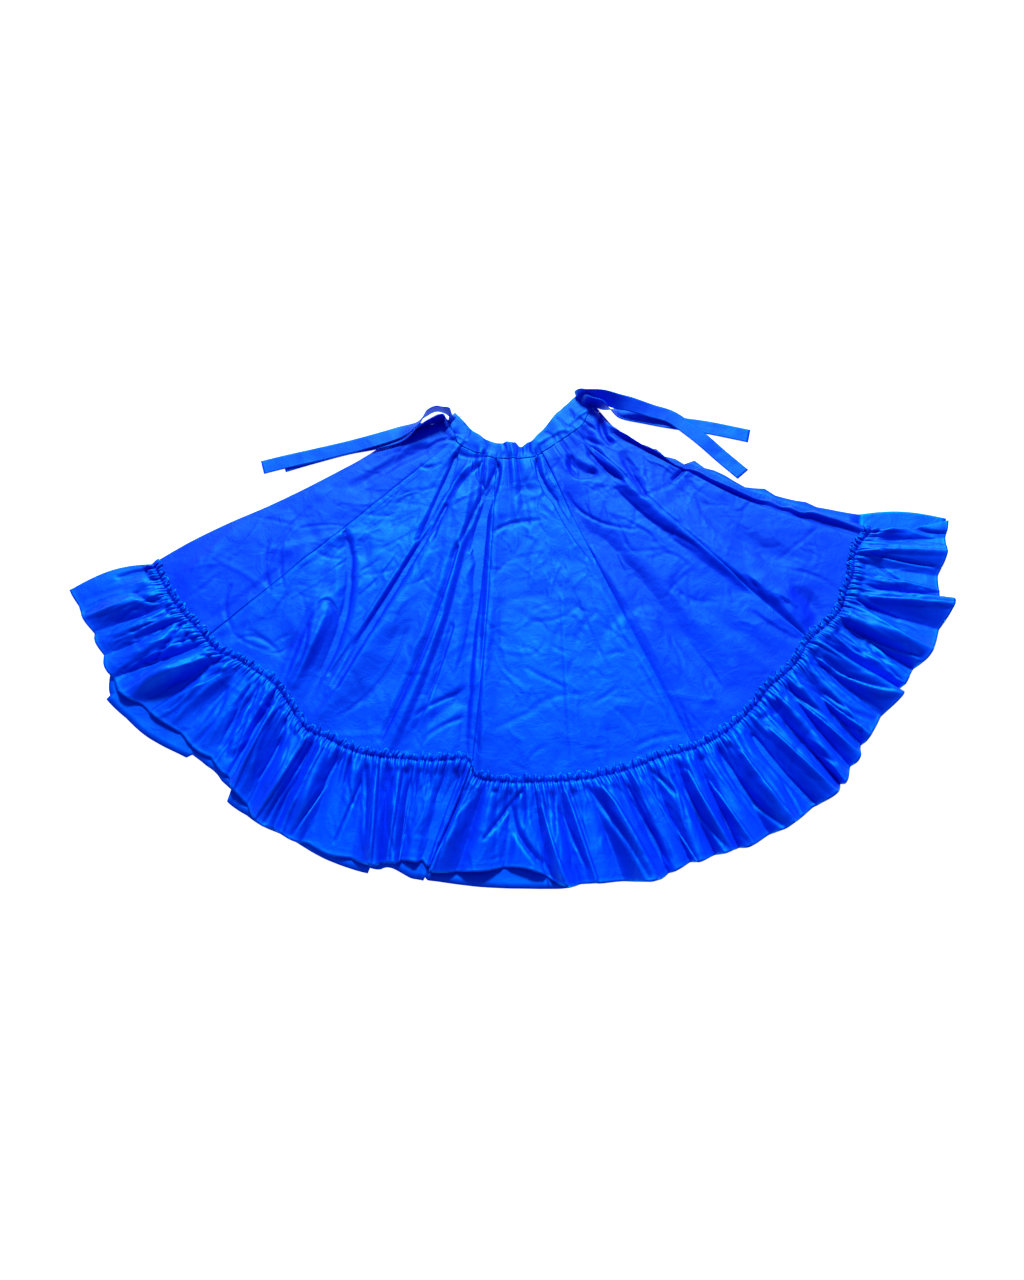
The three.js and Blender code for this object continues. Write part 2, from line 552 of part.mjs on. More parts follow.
// Places of the small gathers' crests and valleys, the lengths' ends falling in valleys.
function gatherPlaces() {
  const steps = 4000;
  const sums = [0];
  for (let i = 1; i <= steps; i += 1) {
    const a = point(RUFFLE_FOLDS, 'seam', LAST_FOLD * (i - 1) / steps);
    const b = point(RUFFLE_FOLDS, 'seam', LAST_FOLD * i / steps);
    sums.push(sums[i - 1] + a.distanceTo(b));
  }
  const places = [];
  for (let k = 0; k <= 2 * SEAM_GATHERS; k += 1) {
    const jitter = k % (2 * SEAM_GATHERS) === 0 ? 0 : GATHER_JITTER * uneven(k);
    const target = sums[steps] * (k + jitter) / (2 * SEAM_GATHERS);
    places.push(LAST_FOLD * Math.min(steps, sums.findIndex((sum) => sum >= target)) / steps);
  }
  for (const end of ruffleEnds.slice(0, -1)) {
    const valleys = places.map((s, k) => (k % 2 === 0 ? Math.abs(s - end) : Infinity));
    places[valleys.indexOf(Math.min(...valleys))] = end;
  }
  places[2 * SEAM_GATHERS] = LAST_FOLD;
  return places;
}

function frontRuffle() {
  const places = gatherPlaces();
  const gathers = places.map((s, k) => (k % 2 === 0 ? 0 : 1 + GATHER_UNEVEN * uneven(k)));
  const rows = [
    rowAt(places, (s, k) => ruffleHead(s, -HEADING, gathers[k])),
    rowAt(places, (s, k) => ruffleHead(s, 0, gathers[k])),
    rowAt(places, (s, k) => ruffleDrop(s, RUFFLE_DOWN[0], gathers[k])),
  ];
  const columns = merged([...evenPlaces(0, LAST_FOLD, LAST_FOLD * COLUMNS_PER_FOLD), ...ruffleEnds]);
  for (const step of RUFFLE_DOWN.slice(1)) {
    rows.push(rowAt(columns, (s) => ruffleDrop(s, step, 0)));
  }
  return surface(rows);
}

function backRuffle() {
  const at = (s, drop) => {
    const seam = backPanel(s, 1);
    const near = THREE.MathUtils.clamp(1 - (LAST_FOLD - s) / BACK_RIGHT_REACH, 0, 1);
    const hem = point(RUFFLE_FOLDS, 'hem', s).lerp(point(BACK_FOLDS, 'hem', s), near);
    const outward = hem.clone().sub(seam).setZ(0).normalize();
    hem.addScaledVector(outward, along(RUFFLE_FOLDS, 'back', s));
    const p = seam.clone().addScaledVector(outward, SEAM_GAP).lerp(hem, drop);
    const bulge = Math.sin(Math.PI * drop);
    p.y += LEFT_END_BULGE * bulge * Math.max(0, 1 - s);
    p.y += BACK_RIGHT_BULGE * bulge * Math.max(0, 1 - LAST_FOLD + s);
    p.z = BACK_LEVEL;
    return p;
  };
  return surface([0, 0.5, 1].map((drop) => rowAt(backColumns, (s) => at(s, drop))));
}

// Waistbands, from the top edge to the waist seam.
function frontBand() {
  const place = (s, down) => {
    const top = point(RIBS, 'top', s, 'fold');
    const p = top.lerp(point(RIBS, 'waist', s, 'fold'), down);
    const share = waistShare(s);
    const lift = BAND_LIFT.ends + (BAND_LIFT.middle - BAND_LIFT.ends) * Math.sin(Math.PI * share);
    const ripple = BAND_RIPPLE * Math.sin(Math.PI * BAND_RIPPLES * share) * Math.sin(Math.PI * share);
    p.z = FRONT_LEVEL + BAND_CLEARANCE + lift + ripple * (1 - down) + BAND_SEAM_LIFT * down;
    return p;
  };
  const places = evenPlaces(0, LAST_FOLD, BAND_COLUMNS);
  const rows = BAND_DOWN.map((down) => rowAt(places, (s) => place(s, down)));
  return wall('front_waistband', surface(rows), BAND_CLOTH);
}

function backBand() {
  const place = (s, down) => {
    const near = THREE.MathUtils.clamp(1 - (LAST_FOLD - s) / BAND_BACK_REACH, 0, 1);
    const top = point(RIBS, 'top', s, 'fold').lerp(point(BACK_RIBS, 'top', s, 'fold'), near);
    const p = top.lerp(backPanel(s, 0).setZ(0), down);
    p.z = BACK_LEVEL;
    return p;
  };
  const rows = BACK_BAND_DOWN.map((down) => rowAt(backColumns, (s) => place(s, down)));
  return wall('back_waistband', surface(rows), CLOTH);
}

// A tie follows its path, standing on edge by the band and turning flat further out.
function tie(name, table) {
  const rows = [[], [], []];
  for (let i = 0; i <= TIE_STEPS; i += 1) {
    const place = (table.length - 1) * i / TIE_STEPS;
    const at = (t) => new THREE.Vector3(along(table, 'x', t), along(table, 'y', t), along(table, 'z', t));
    const p = at(place);
    const run = at(Math.min(place + TIE_ASIDE, table.length - 1));
    run.sub(at(Math.max(place - TIE_ASIDE, 0))).setZ(0).normalize();
    const turn = THREE.MathUtils.degToRad(along(table, 'turn', place));
    const across = new THREE.Vector3(-run.y, run.x, 0).multiplyScalar(Math.cos(turn));
    across.z = Math.sin(turn);
    rows.forEach((points, k) => {
      const q = p.clone().addScaledVector(across, TIE_WIDTH * (k - 1) / 2);
      q.s = i;
      points.push(q);
    });
  }
  return wall(name, surface(rows), CLOTH);
}

const group = new THREE.Group();
group.name = 'folklorico_skirt';
const layers = {
  frontPanels: frontPanels(),
  backPanels: backPanels(),
  frontRuffle: frontRuffle(),
  backRuffle: backRuffle(),
};
for (const { name, from, to } of GORES) {
  group.add(wall(`front_${name}`, layers.frontPanels, CLOTH, from, to));
  group.add(wall(`back_${name}`, layers.backPanels, CLOTH, from, to));
}
for (const { name, from, to } of RUFFLE_LENGTHS) {
  group.add(wall(`front_${name}`, layers.frontRuffle, CLOTH, from, to));
  group.add(wall(`back_${name}`, layers.backRuffle, CLOTH, from, to));
}
group.add(frontBand(), backBand());
for (const [name, table] of Object.entries(TIES)) {
  group.add(tie(name, table));
}

// The origin is under the middle of the whole, on the floor.
const box = new THREE.Box3().setFromObject(group);
const middle = box.getCenter(new THREE.Vector3());
for (const mesh of group.children) {
  mesh.geometry.translate(-middle.x, -middle.y, -box.min.z);
}

export default group;
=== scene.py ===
# Folklorico skirt laid out on the floor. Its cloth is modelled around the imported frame.
import math
import random

import bmesh
import bpy
import numpy as np
from mathutils import Matrix, Vector


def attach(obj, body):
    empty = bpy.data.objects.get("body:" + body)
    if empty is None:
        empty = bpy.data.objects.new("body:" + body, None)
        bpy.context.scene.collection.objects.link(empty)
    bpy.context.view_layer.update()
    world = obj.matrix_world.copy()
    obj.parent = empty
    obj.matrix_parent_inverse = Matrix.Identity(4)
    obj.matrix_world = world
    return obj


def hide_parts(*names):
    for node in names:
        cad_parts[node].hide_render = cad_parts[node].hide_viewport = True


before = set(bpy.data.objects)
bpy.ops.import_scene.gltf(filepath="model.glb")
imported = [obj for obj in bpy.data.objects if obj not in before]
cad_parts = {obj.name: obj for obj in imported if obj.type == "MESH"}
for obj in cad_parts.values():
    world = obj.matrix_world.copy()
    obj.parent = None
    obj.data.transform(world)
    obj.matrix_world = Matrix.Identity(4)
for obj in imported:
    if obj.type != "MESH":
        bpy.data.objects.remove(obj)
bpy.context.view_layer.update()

# What a user would change about the whole layout, in millimetres.
layout = {
    "middle": (6.509, 58.737, 0),  # of the tables' places, which lies over the frame's origin
    "backLevel": 0.5,          # middle of the back cloth's thickness, which rests on the floor
    "frontLevel": 3.0,         # middle of the front cloth where it lies straight on the back
    "clothThickness": 1.0,
    "eyeBack": 917,            # the viewer's place, over the front edge
    "eyeHeight": 1967,
    "seed": 11,
}


# Named columns from rows. A row that stops early has 0 in its last columns.
def table(columns, rows):
    names = columns.split()
    values = np.array([[*row, *[0] * (len(names) - len(row))] for row in rows], float)
    return {name: values[:, i] for i, name in enumerate(names)}


# The ruffle's large folds: crests on its seam and hem, and how far the back reaches past the hem
ruffleFolds = table("seamX seamY hemX hemY rise lean back", [
    (-726, 166, -884, 108, 0, 0, -2), (-686, 99, -842, 38, 14, -4, -6), (-654, 57, -809, -15, 12, -4, -8),
    (-612, 13, -787, -60, 15, 3, -10), (-572, -30, -751, -112, 26, 12, 18),
    (-532, -47, -667, -170, 11, -5, 38), (-489, -75, -589, -231, 8, -3, 16),
    (-463, -93, -545, -266, 9, 5, 8), (-434, -126, -507, -314, 22, -8, 14),
    (-390, -188, -463, -368, 18, 5, 0), (-343, -211, -407, -398, 20, 10, -4),
    (-296, -234, -329, -428, 5, 0, 8), (-251, -245, -254, -449, 16, 3, 8),
    (-207, -249, -220, -447, 18, 8, 2), (-149, -253, -177, -442, 6, 3, 26),
    (-84, -251, -152, -448, 4, 0, 24), (-67, -284, -136, -464, 22, -6, 10),
    (-22, -294, -55, -460, 13, -5, 24), (20, -295, 25, -455, 10, 6, 32), (60, -294, 97, -488, 22, -6, -2),
    (111, -291, 149, -481, 10, 4, -8), (164, -283, 254, -479, 26, -10, -8),
    (227, -266, 301, -454, 13, -4, -8), (273, -247, 341, -442, 18, -5, -8),
    (316, -236, 392, -426, 25, -9, -8), (356, -222, 433, -413, 16, -6, -8),
    (403, -196, 508, -375, 26, -10, -8), (459, -146, 594, -317, 22, -8, -8),
    (495, -103, 618, -288, 20, -8, -8), (527, -77, 646, -246, 14, -5, -8),
    (557, -45, 673, -201, 16, -6, -8), (577, -11, 735, -132, 24, 6, -8), (609, 19, 757, -92, 17, -6, -8),
    (648, 57, 809, -36, 28, -10, -8), (668, 104, 871, 67, 20, 8, -16), (686, 144, 849, 94, 8, 0, -8),
    (698, 194, 879, 190, 14, -5, -4), (740, 250, 897, 268, 4, 0, -2),
])
# Lines down the front's panels, each at the fold where it meets the ruffle
ribs = table("fold topX topY waistX waistY midX midY", [
    (0, -123, 538, -159, 491, -439, 343), (3.3, -97, 506, -125, 463, -360, 234),
    (9, -80, 485, -99, 447, -247, 140), (12, -60, 468, -73, 433, -131, 95),
    (15, -30, 456, -40, 420, -58, 87), (18, 4, 452, 5, 417, 20, 80), (21, 28, 450, 34, 419, 104, 93),
    (24.7, 50, 471, 62, 432, 191, 123), (31, 97, 533, 134, 489, 348, 234),
    (34, 115, 556, 161, 512, 410, 309), (37, 139, 582, 189, 539, 439, 358),
])
# How far the side edges bow out on the way down: the front's left and right, and the back's right
sides = table("down left right back", [
    (0, 0, 0, 0), (0.12, 0, -12, -32), (0.25, 12, -4, -15), (0.33, 8, -10, -7), (0.4, 4, 7, 5),
    (0.5, 0, 0, 3), (0.62, 0, 1, 1), (0.75, 6, 8, 4), (0.88, 8, 11, 0), (1, 3, 0, 0),
])
# Large soft folds of the panels
panelFolds = table("topX topY midX midY endX endY width height steep", [
    (-189, 443, -249, 405, -328, 349, 26, -6), (-557, 279, -619, 174, -645, 75, 56, 6),
    (-376, 77, -400, -15, -440, -116, 38, 10), (-340, 214, -335, 40, -406, -154, 30, -8),
    (-117, 425, -194, 199, -348, -74, 26, -9, -1), (-134, 329, -231, 87, -370, -179, 46, 9, -1),
    (-86, 378, -137, 57, -237, -239, 38, 9, 1), (-46, 324, -72, 55, -88, -243, 28, -8, 1),
    (-34, 373, -48, 85, -56, -273, 30, 6, -1), (-84, -114, -131, -150, -199, -224, 30, -5),
    (60, 368, 189, 125, 343, -232, 22, -4), (104, 314, 237, 140, 408, -104, 62, -8),
    (184, 418, 348, 234, 522, 91, 64, 12, -1), (497, 107, 549, 51, 589, -11, 44, 10, -1),
    (159, 491, 181, 418, 223, 359, 24, -8), (127, 403, 147, 389, 171, 377, 26, -8),
    (237, 425, 255, 378, 275, 324, 22, -6), (403, 296, 450, 234, 545, 178, 44, -5),
    (571, 93, 599, 55, 577, 11, 34, -7),
])
lastFold = len(ruffleFolds["seamX"]) - 1

# The right edge of the back, which shows beyond the front's.
backRight = {"topX": 155, "topY": 605, "waistX": 190, "waistY": 546, "midX": 447, "midY": 376,
             "seamX": 716, "seamY": 286, "hemX": 898, "hemY": 276}


def withLastRow(rows, changes):
    return {name: np.append(values[:-1], changes.get(name, values[-1])) for name, values in rows.items()}


backRibs = withLastRow(ribs, backRight)
backFolds = withLastRow(ruffleFolds, backRight)


# Smooth value of a column at places between its rows, which lie at their fold or down, or else one apart.
def along(rows, column, place):
    value = rows[column]
    at = rows.get("fold", rows.get("down", np.arange(len(value), dtype=float)))
    slope = np.empty(len(value))
    slope[1:-1] = (value[2:] - value[:-2]) / (at[2:] - at[:-2])
    slope[0] = (value[1] - value[0]) / (at[1] - at[0])
    slope[-1] = (value[-1] - value[-2]) / (at[-1] - at[-2])
    i = np.clip(np.searchsorted(at, place, side="left") - 1, 0, len(value) - 2)
    span = at[i + 1] - at[i]
    t = np.clip((place - at[i]) / span, 0, 1)
    return (value[i] * (2 * t**3 - 3 * t**2 + 1) + slope[i] * span * (t**3 - 2 * t**2 + t)
            + value[i + 1] * (3 * t**2 - 2 * t**3) + slope[i + 1] * span * (t**3 - t**2))


def planPoint(rows, name, place):
    return np.stack([along(rows, name + "X", place), along(rows, name + "Y", place)], -1)


# Repeatable unevenness between -1 and 1, different for every whole number.
def uneven(n):
    wave = np.sin(np.asarray(n, float) * 12.9898 + 4.1414) * 43758.5453
    return 2 * (wave - np.floor(wave)) - 1


def smooth(low, high, value):
    t = np.clip((value - low) / (high - low), 0, 1)
    return t * t * (3 - 2 * t)


def bell(value, width):
    return np.exp(-(value / width) ** 2)


# Plan place on a layer's panels: fold counts across, down runs from 0 at the waist to 1 at the ruffle.
def panelPlan(fold, down, ribRows, foldRows, rightSwing):
    share = down[:, None]
    place = (planPoint(ribRows, "waist", fold) * (1 - share) * (1 - 2 * share)
             + planPoint(ribRows, "mid", fold) * 4 * share * (1 - share)
             + planPoint(foldRows, "seam", fold) * share * (2 * share - 1))
    reach = 2.5
    left = np.maximum(0, 1 - fold / reach) ** 2
    right = np.maximum(0, 1 - (lastFold - fold) / reach) ** 2
    place[:, 1] += left * along(sides, "left", down) + right * along(sides, rightSwing, down)
    return place


def frontPlan(fold, down):
    return panelPlan(fold, down, ribs, ruffleFolds, "right")


def backPlan(fold, down):
    near = np.clip(1 - (lastFold - fold) / 3, 0, 1)[:, None]
    own = panelPlan(fold, down, backRibs, backFolds, "back")
    return frontPlan(fold, down) * (1 - near) + own * near


# Share of the panel length that a distance in millimetres makes up at the ruffle's seam.
def downFor(fold, distance):
    share = 0.1
    near = frontPlan(fold, np.full_like(fold, 1 - share))
    seam = frontPlan(fold, np.ones_like(fold))
    return share * distance / np.hypot(*(near - seam).T)


# Lengths along the ruffle's seam and along the waist seam, to space columns and gathers evenly.
fineFolds = np.linspace(0, lastFold, 4001)


def lengthsAlong(points):
    steps = np.linalg.norm(np.diff(points, axis=0), axis=1)
    return np.concatenate([[0], np.cumsum(steps)])


seamLengths = lengthsAlong(planPoint(ruffleFolds, "seam", fineFolds))
waistLengths = lengthsAlong(planPoint(ribs, "waist", fineFolds))


def foldsBetween(start, end, across):
    first, last = np.interp([start, end], fineFolds, seamLengths)
    return np.interp(first + (last - first) * across, seamLengths, fineFolds)


# Height of creases at plan places. Each is a bent line with a width, a height (below 0 for a trough),
# and the side on which it is steep (-1 left, 1 right, seen from its start). A keen crease comes to a line.
creaseSettings = {
    "reach": 0.8,              # to each side, as a share of the width
    "steepness": 0.5,
    "runIn": 0.12,             # shares of the taper's half wave at its two ends
    "runOut": 0.92,
    "bends": 24,               # straight steps that make up its line
}


def creaseHeight(rows, places, keen=0.5):
    s = creaseSettings
    height = np.zeros(len(places))
    shares = np.linspace(0, 1, s["bends"] + 1)[:, None]
    for i in range(len(rows["topX"])):
        start, middle, end = (np.array([rows[p + "X"][i], rows[p + "Y"][i]]) for p in ("top", "mid", "end"))
        control = 2 * middle - (start + end) / 2
        line = (1 - shares) ** 2 * start + 2 * shares * (1 - shares) * control + shares**2 * end
        half = s["reach"] * rows["width"][i]
        reach = half * (1 + s["steepness"])
        inReach = (places > line.min(0) - reach) & (places < line.max(0) + reach)
        near = np.flatnonzero(inReach.all(axis=1))
        if not len(near):
            continue
        p = places[near]
        nearest = np.full(len(near), np.inf)
        share = np.zeros(len(near))
        side = np.ones(len(near))
        for k in range(s["bends"]):
            run = line[k + 1] - line[k]
            off = p - line[k]
            t = np.clip(off @ run / (run @ run), 0, 1)
            distance = np.hypot(*(off - t[:, None] * run).T)
            closer = distance < nearest
            nearest = np.where(closer, distance, nearest)
            share = np.where(closer, (k + t) / s["bends"], share)
            side = np.where(closer, np.sign(run[0] * off[:, 1] - run[1] * off[:, 0]), side)
        across = np.minimum(1, nearest / (half * (1 - rows["steep"][i] * side * s["steepness"])))
        taper = np.sqrt(np.sin(np.pi * (s["runIn"] + (s["runOut"] - s["runIn"]) * share)))
        profile = (1 - keen) * (np.cos(np.pi * across) + 1) / 2 + keen * (1 - across) ** 1.5
        height[near] += rows["height"][i] * taper * profile
    return height


# Where a raised place is seen on the floor from the viewer's side.
def seenOnFloor(places, height):
    offset = places + np.array([0, layout["eyeBack"]])
    return places + offset * (height / layout["eyeHeight"])[:, None]


# Many small crumples, uneven in length, depth and direction, mostly running down the cloth.
def crumples(settings, plan):
    draw = random.Random(layout["seed"] + settings["seed"])
    rows = []
    for _ in range(settings["count"]):
        fold = np.array([draw.uniform(0.5, lastFold - 0.5)])
        down = np.array([draw.uniform(*settings["down"])])
        place = plan(fold, down)[0]
        ahead = plan(fold, down + 0.01)[0] - place
        turn = math.atan2(ahead[1], ahead[0]) + draw.gauss(0, settings["spread"])
        if draw.random() < settings["crossing"]:
            turn += math.pi / 2
        half = draw.uniform(*settings["length"]) / 2
        halfRun = np.array([math.cos(turn), math.sin(turn)]) * half
        bend = np.array([-math.sin(turn), math.cos(turn)]) * half * draw.uniform(-0.3, 0.3)
        width = draw.uniform(*settings["width"])
        height = draw.choice([-1, -1, 1]) * draw.uniform(*settings["height"])
        rows.append([*(place - halfRun), *(place + bend), *(place + halfRun), width, height,
                     draw.uniform(-1, 1)])
    return table("topX topY midX midY endX endY width height steep", rows)


def meshFrom(bm, name):
    mesh = bpy.data.meshes.new(name)
    bm.to_mesh(mesh)
    bm.free()
    return mesh


def addObject(name, data):
    made = bpy.data.objects.new(name, data)
    bpy.context.collection.objects.link(made)
    return made


# From the tables' millimetres to metres around the frame's origin
def inMetres(points):
    return (points - np.array(layout["middle"])) / 1000


# A piece of cloth that stands for a node: a grid moved on to a shape and closed by a thickness.
# The front's pieces rest on the back's.
def makeSheet(node, columns, rows, shape, material,
              thickness=layout["clothThickness"]):
    bm = bmesh.new()
    bm.loops.layers.uv.new("cloth")
    bmesh.ops.create_grid(bm, x_segments=columns, y_segments=rows, size=0.5, calc_uvs=True)
    mesh = meshFrom(bm, node.replace("_", "-"))
    places = np.empty(len(mesh.vertices) * 3)
    mesh.vertices.foreach_get("co", places)
    across = places[0::3] + 0.5
    down = 0.5 - places[1::3]
    points = inMetres(shape(across, down))
    mesh.vertices.foreach_set("co", points.ravel())
    # the texture runs in metres: across by the first edge's length, down by the middle's
    grid = points.reshape(rows + 1, columns + 1, 3)
    width = lengthsAlong(grid[0])[-1]
    length = lengthsAlong(grid[:, columns // 2])[-1]
    corners = np.empty(len(mesh.loops), dtype=np.int32)
    mesh.loops.foreach_get("vertex_index", corners)
    texture = np.column_stack([across[corners] * width, down[corners] * length])
    mesh.uv_layers["cloth"].data.foreach_set("uv", texture.ravel())
    mesh.shade_smooth()
    mesh.update()
    mesh.materials.append(material)
    piece = addObject(mesh.name, mesh)
    wall = piece.modifiers.new("cloth thickness", "SOLIDIFY")
    wall.thickness = thickness / 1000
    wall.offset = 0
    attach(piece, "root")
    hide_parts(node)


print("tables and helpers ready")

# The camera stands in front of the hem and looks down on the layout.
camera = {
    "elevation": 65,       # degrees above the floor
    "distance": 2.17,      # metres
    "aim": (-layout["middle"][0] / 1000, -layout["middle"][1] / 1000, 0),
    "lens": 31.16,
    "sensor": 36,
}
elevation = math.radians(camera["elevation"])
cameraData = bpy.data.cameras.new("camera")
cameraData.lens = camera["lens"]
cameraData.sensor_width = camera["sensor"]
cameraObject = addObject("camera", cameraData)
away = Vector((0, -math.cos(elevation), math.sin(elevation))) * camera["distance"]
cameraObject.location = Vector(camera["aim"]) + away
cameraObject.rotation_euler = (math.pi / 2 - elevation, 0, 0)
bpy.context.scene.camera = cameraObject


# Materials
def linear(hexColour):
    channels = [int(hexColour[i:i + 2], 16) / 255 for i in (0, 2, 4)]
    return tuple(c / 12.92 if c <= 0.04045 else ((c + 0.055) / 1.055) ** 2.4 for c in channels) + (1,)


# Adds a shader node with its settings, its fixed inputs and its links.
def addNode(tree, kind, settings=None, values=None, links=None):
    made = tree.nodes.new("ShaderNode" + kind)
    for key, value in (settings or {}).items():
        setattr(made, key, value)
    for key, value in (values or {}).items():
        made.inputs[key].default_value = value
    for key, socket in (links or {}).items():
        tree.links.new(socket, made.inputs[key])
    return made


def addNoise(tree, place, size, values):
    return addNode(tree, "TexNoise", None, {"Scale": 1000 / size, **values}, {"Vector": place})


# Raises the face by a height in millimetres, on top of another bump where there is one.
def addBump(tree, source, strength, height, under=None):
    links = {"Height": source, "Normal": under} if under is not None else {"Height": source}
    made = addNode(tree, "Bump", None, {"Strength": strength, "Distance": height / 1000}, links)
    return made.outputs["Normal"]


def addRange(tree, value, *limits):
    values = dict(zip(("From Min", "From Max", "To Min", "To Max"), limits))
    return addNode(tree, "MapRange", None, values, {"Value": value}).outputs["Result"]


clothLook = {
    "dark": "0009C0",
    "light": "0010DA",
    "tonePatch": 260,          # millimetres across, as the sizes below
    "toneEnds": (0.3, 0.7),    # values of the noise at which the cloth is fully dark or light
    "patchShine": (0.8, 1.2),
    "warpPatch": 90,
    "warp": 50,
    "crumple": 62,
    "crumpleStrength": 0.8,
    "crumpleHeight": 3.4,
    "pucker": 30,
    "puckerStrength": 0.7,
    "puckerHeight": 2.2,
    "rib": 1.2,
    "ribStrength": 0.25,
    "ribHeight": 0.04,
    "roughness": 0.6,
    "glassiness": 1.92,
    "bend": 0.05,              # how little bending changes the cloth's face
    "hollowShine": 0.25,
    "crestShine": 1.15,
    # painted shade: share of its colour that the cloth keeps in the hollows of folds
    "paintedCreaseShade": 0.8,
    "shineTint": "00BEFF",
    "sheen": 0.03,
    "sheenTint": "0090FF",
}


# Polyester taffeta: a fine plain weave with a crisp hand. It gives the eye a smooth satin face with a
# blue-tinted shine, small crumples that hold their edges, and a faint rib across the cloth.
def taffeta(name, changes):
    look = {**clothLook, **changes}
    material = bpy.data.materials.new(name)
    material.use_nodes = True
    tree = material.node_tree
    tree.nodes.clear()
    place = addNode(tree, "TexCoord").outputs["Object"]
    # Broad, faint changes of tone, as in cloth that was folded for storage
    tone = addNoise(tree, place, look["tonePatch"], {"Detail": 3, "Roughness": 0.55}).outputs["Fac"]
    colour = addNode(tree, "ValToRGB", None, None, {"Fac": tone})
    for stop, at, shade in zip(colour.color_ramp.elements, look["toneEnds"], ("dark", "light")):
        stop.position = at
        stop.color = linear(look[shade])
    # Crumples: warped cells that rise softly to their edges
    warp = addNoise(tree, place, look["warpPatch"], {"Detail": 2}).outputs["Color"]
    warped = addNode(tree, "VectorMath", {"operation": "MULTIPLY_ADD"}, {1: [look["warp"] / 1000] * 3},
                     {0: warp, 2: place})
    cells = addNode(tree, "TexVoronoi", {"feature": "SMOOTH_F1"},
                    {"Scale": 1000 / look["crumple"], "Smoothness": 0.35},
                    {"Vector": warped.outputs["Vector"]})
    crumple = addBump(tree, cells.outputs["Distance"], look["crumpleStrength"], look["crumpleHeight"])
    # Finer puckers
    pucker = addNoise(tree, place, look["pucker"], {"Detail": 4, "Roughness": 0.6, "Distortion": 0.6})
    puckered = addBump(tree, pucker.outputs["Fac"], look["puckerStrength"], look["puckerHeight"], crumple)
    # The weave's ribs are 0.3 mm apart, too fine to show, and are drawn 1.2 mm apart
    cloth = addNode(tree, "UVMap", {"uv_map": "cloth"}).outputs["UV"]
    rib = addNode(tree, "TexWave", {"wave_type": "BANDS", "bands_direction": "Y"},
                  {"Scale": 1000 / look["rib"] / 20, "Distortion": 0.4, "Detail": 1}, {"Vector": cloth})
    ribbed = addBump(tree, rib.outputs["Fac"], look["ribStrength"], look["ribHeight"], puckered)
    # Painted shade: where the mesh curves inwards, in the hollows of folds, the colour is darkened, as shade
    # falls there; hollows also shine less and crests more.
    # The shine also comes and goes in broad patches.
    bend = addNode(tree, "NewGeometry").outputs["Pointiness"]
    hollow = 0.5 - look["bend"]
    shine = addRange(tree, bend, hollow, 0.5 + look["bend"], look["hollowShine"], look["crestShine"])
    patches = addRange(tree, tone, *look["toneEnds"], *look["patchShine"])
    shown = addNode(tree, "Math", {"operation": "MULTIPLY"}, None, {0: shine, 1: patches})
    # painted shade: the colour darkens in the hollows of folds
    depth = addRange(tree, bend, hollow, 0.5, look["paintedCreaseShade"], 1)
    creaseShaded = addNode(tree, "VectorMath", {"operation": "SCALE"}, None,
                       {0: colour.outputs["Color"], "Scale": depth})
    shader = addNode(tree, "BsdfPrincipled", None, {
        "Roughness": look["roughness"],
        "IOR": look["glassiness"],
        "Specular Tint": linear(look["shineTint"]),
        "Sheen Weight": look["sheen"],
        "Sheen Roughness": 0.4,
        "Sheen Tint": linear(look["sheenTint"]),
    }, {"Base Color": creaseShaded.outputs["Vector"], "Specular IOR Level": shown.outputs["Value"],
        "Normal": ribbed})
    addNode(tree, "OutputMaterial", None, None, {"Surface": shader.outputs["BSDF"]})
    return material


panelTaffeta = taffeta("blue polyester taffeta", {})
# The other gores' threads lie at a slant to the light, so they shine less
slantTaffeta = taffeta("blue polyester taffeta, off the grain", {"hollowShine": 0.2, "crestShine": 0.74})
ruffleTaffeta = taffeta("blue polyester taffeta, gathered", {
    "crumple": 48, "crumpleHeight": 2.4, "pucker": 22, "puckerHeight": 1.5, "crestShine": 1.6})
bandTaffeta = taffeta("blue polyester taffeta, folded double", {
    "crumple": 38, "crumpleHeight": 2, "pucker": 16, "puckerHeight": 1.2})
tieTaffeta = taffeta("blue polyester taffeta, narrow strips", {
    "crumple": 42, "crumpleHeight": 2, "pucker": 16, "puckerHeight": 1})
print("materials ready")

# Front panels
panelSettings = {
    "puff": 7,                 # how high the front lies above the back between its folds
    "seamCalm": 0.35,          # how much the ruffle's seam flattens the folds
    "waistGathers": 13,
    "waistRise": 2.2,
    "waistFade": 0.13,         # share of the length over which the gathers run out
    "fineGathers": 36,
    "fineRise": 0.7,
    "scallop": 6,              # unevenness of the right edge
    "seamDip": 0.8,
    "seamWidth": 2.4,
    "allowance": 13,           # seam allowance pressed to the right
    "allowanceRise": 0.45,
    "tuck": 6,                 # edge hidden under the ruffle
    "rows": 185,
    "columns": 590,
    "backRows": 26,
    "edgeRidge": 9,            # rolled right edge of the front
    "edgeRidgeAt": 8,
    "edgeRidgeWidth": 4.6,
    "edgeTrough": 0.8,         # hollow beside it, as a share of its height
    "edgeTroughAt": 18,
    "edgeTroughWidth": 5,
    "edgeFoldWidths": (4, 52),     # width of the last fold at the waist and at the ruffle
    "foldKeen": 0.2,           # large folds are rounder than creases
}
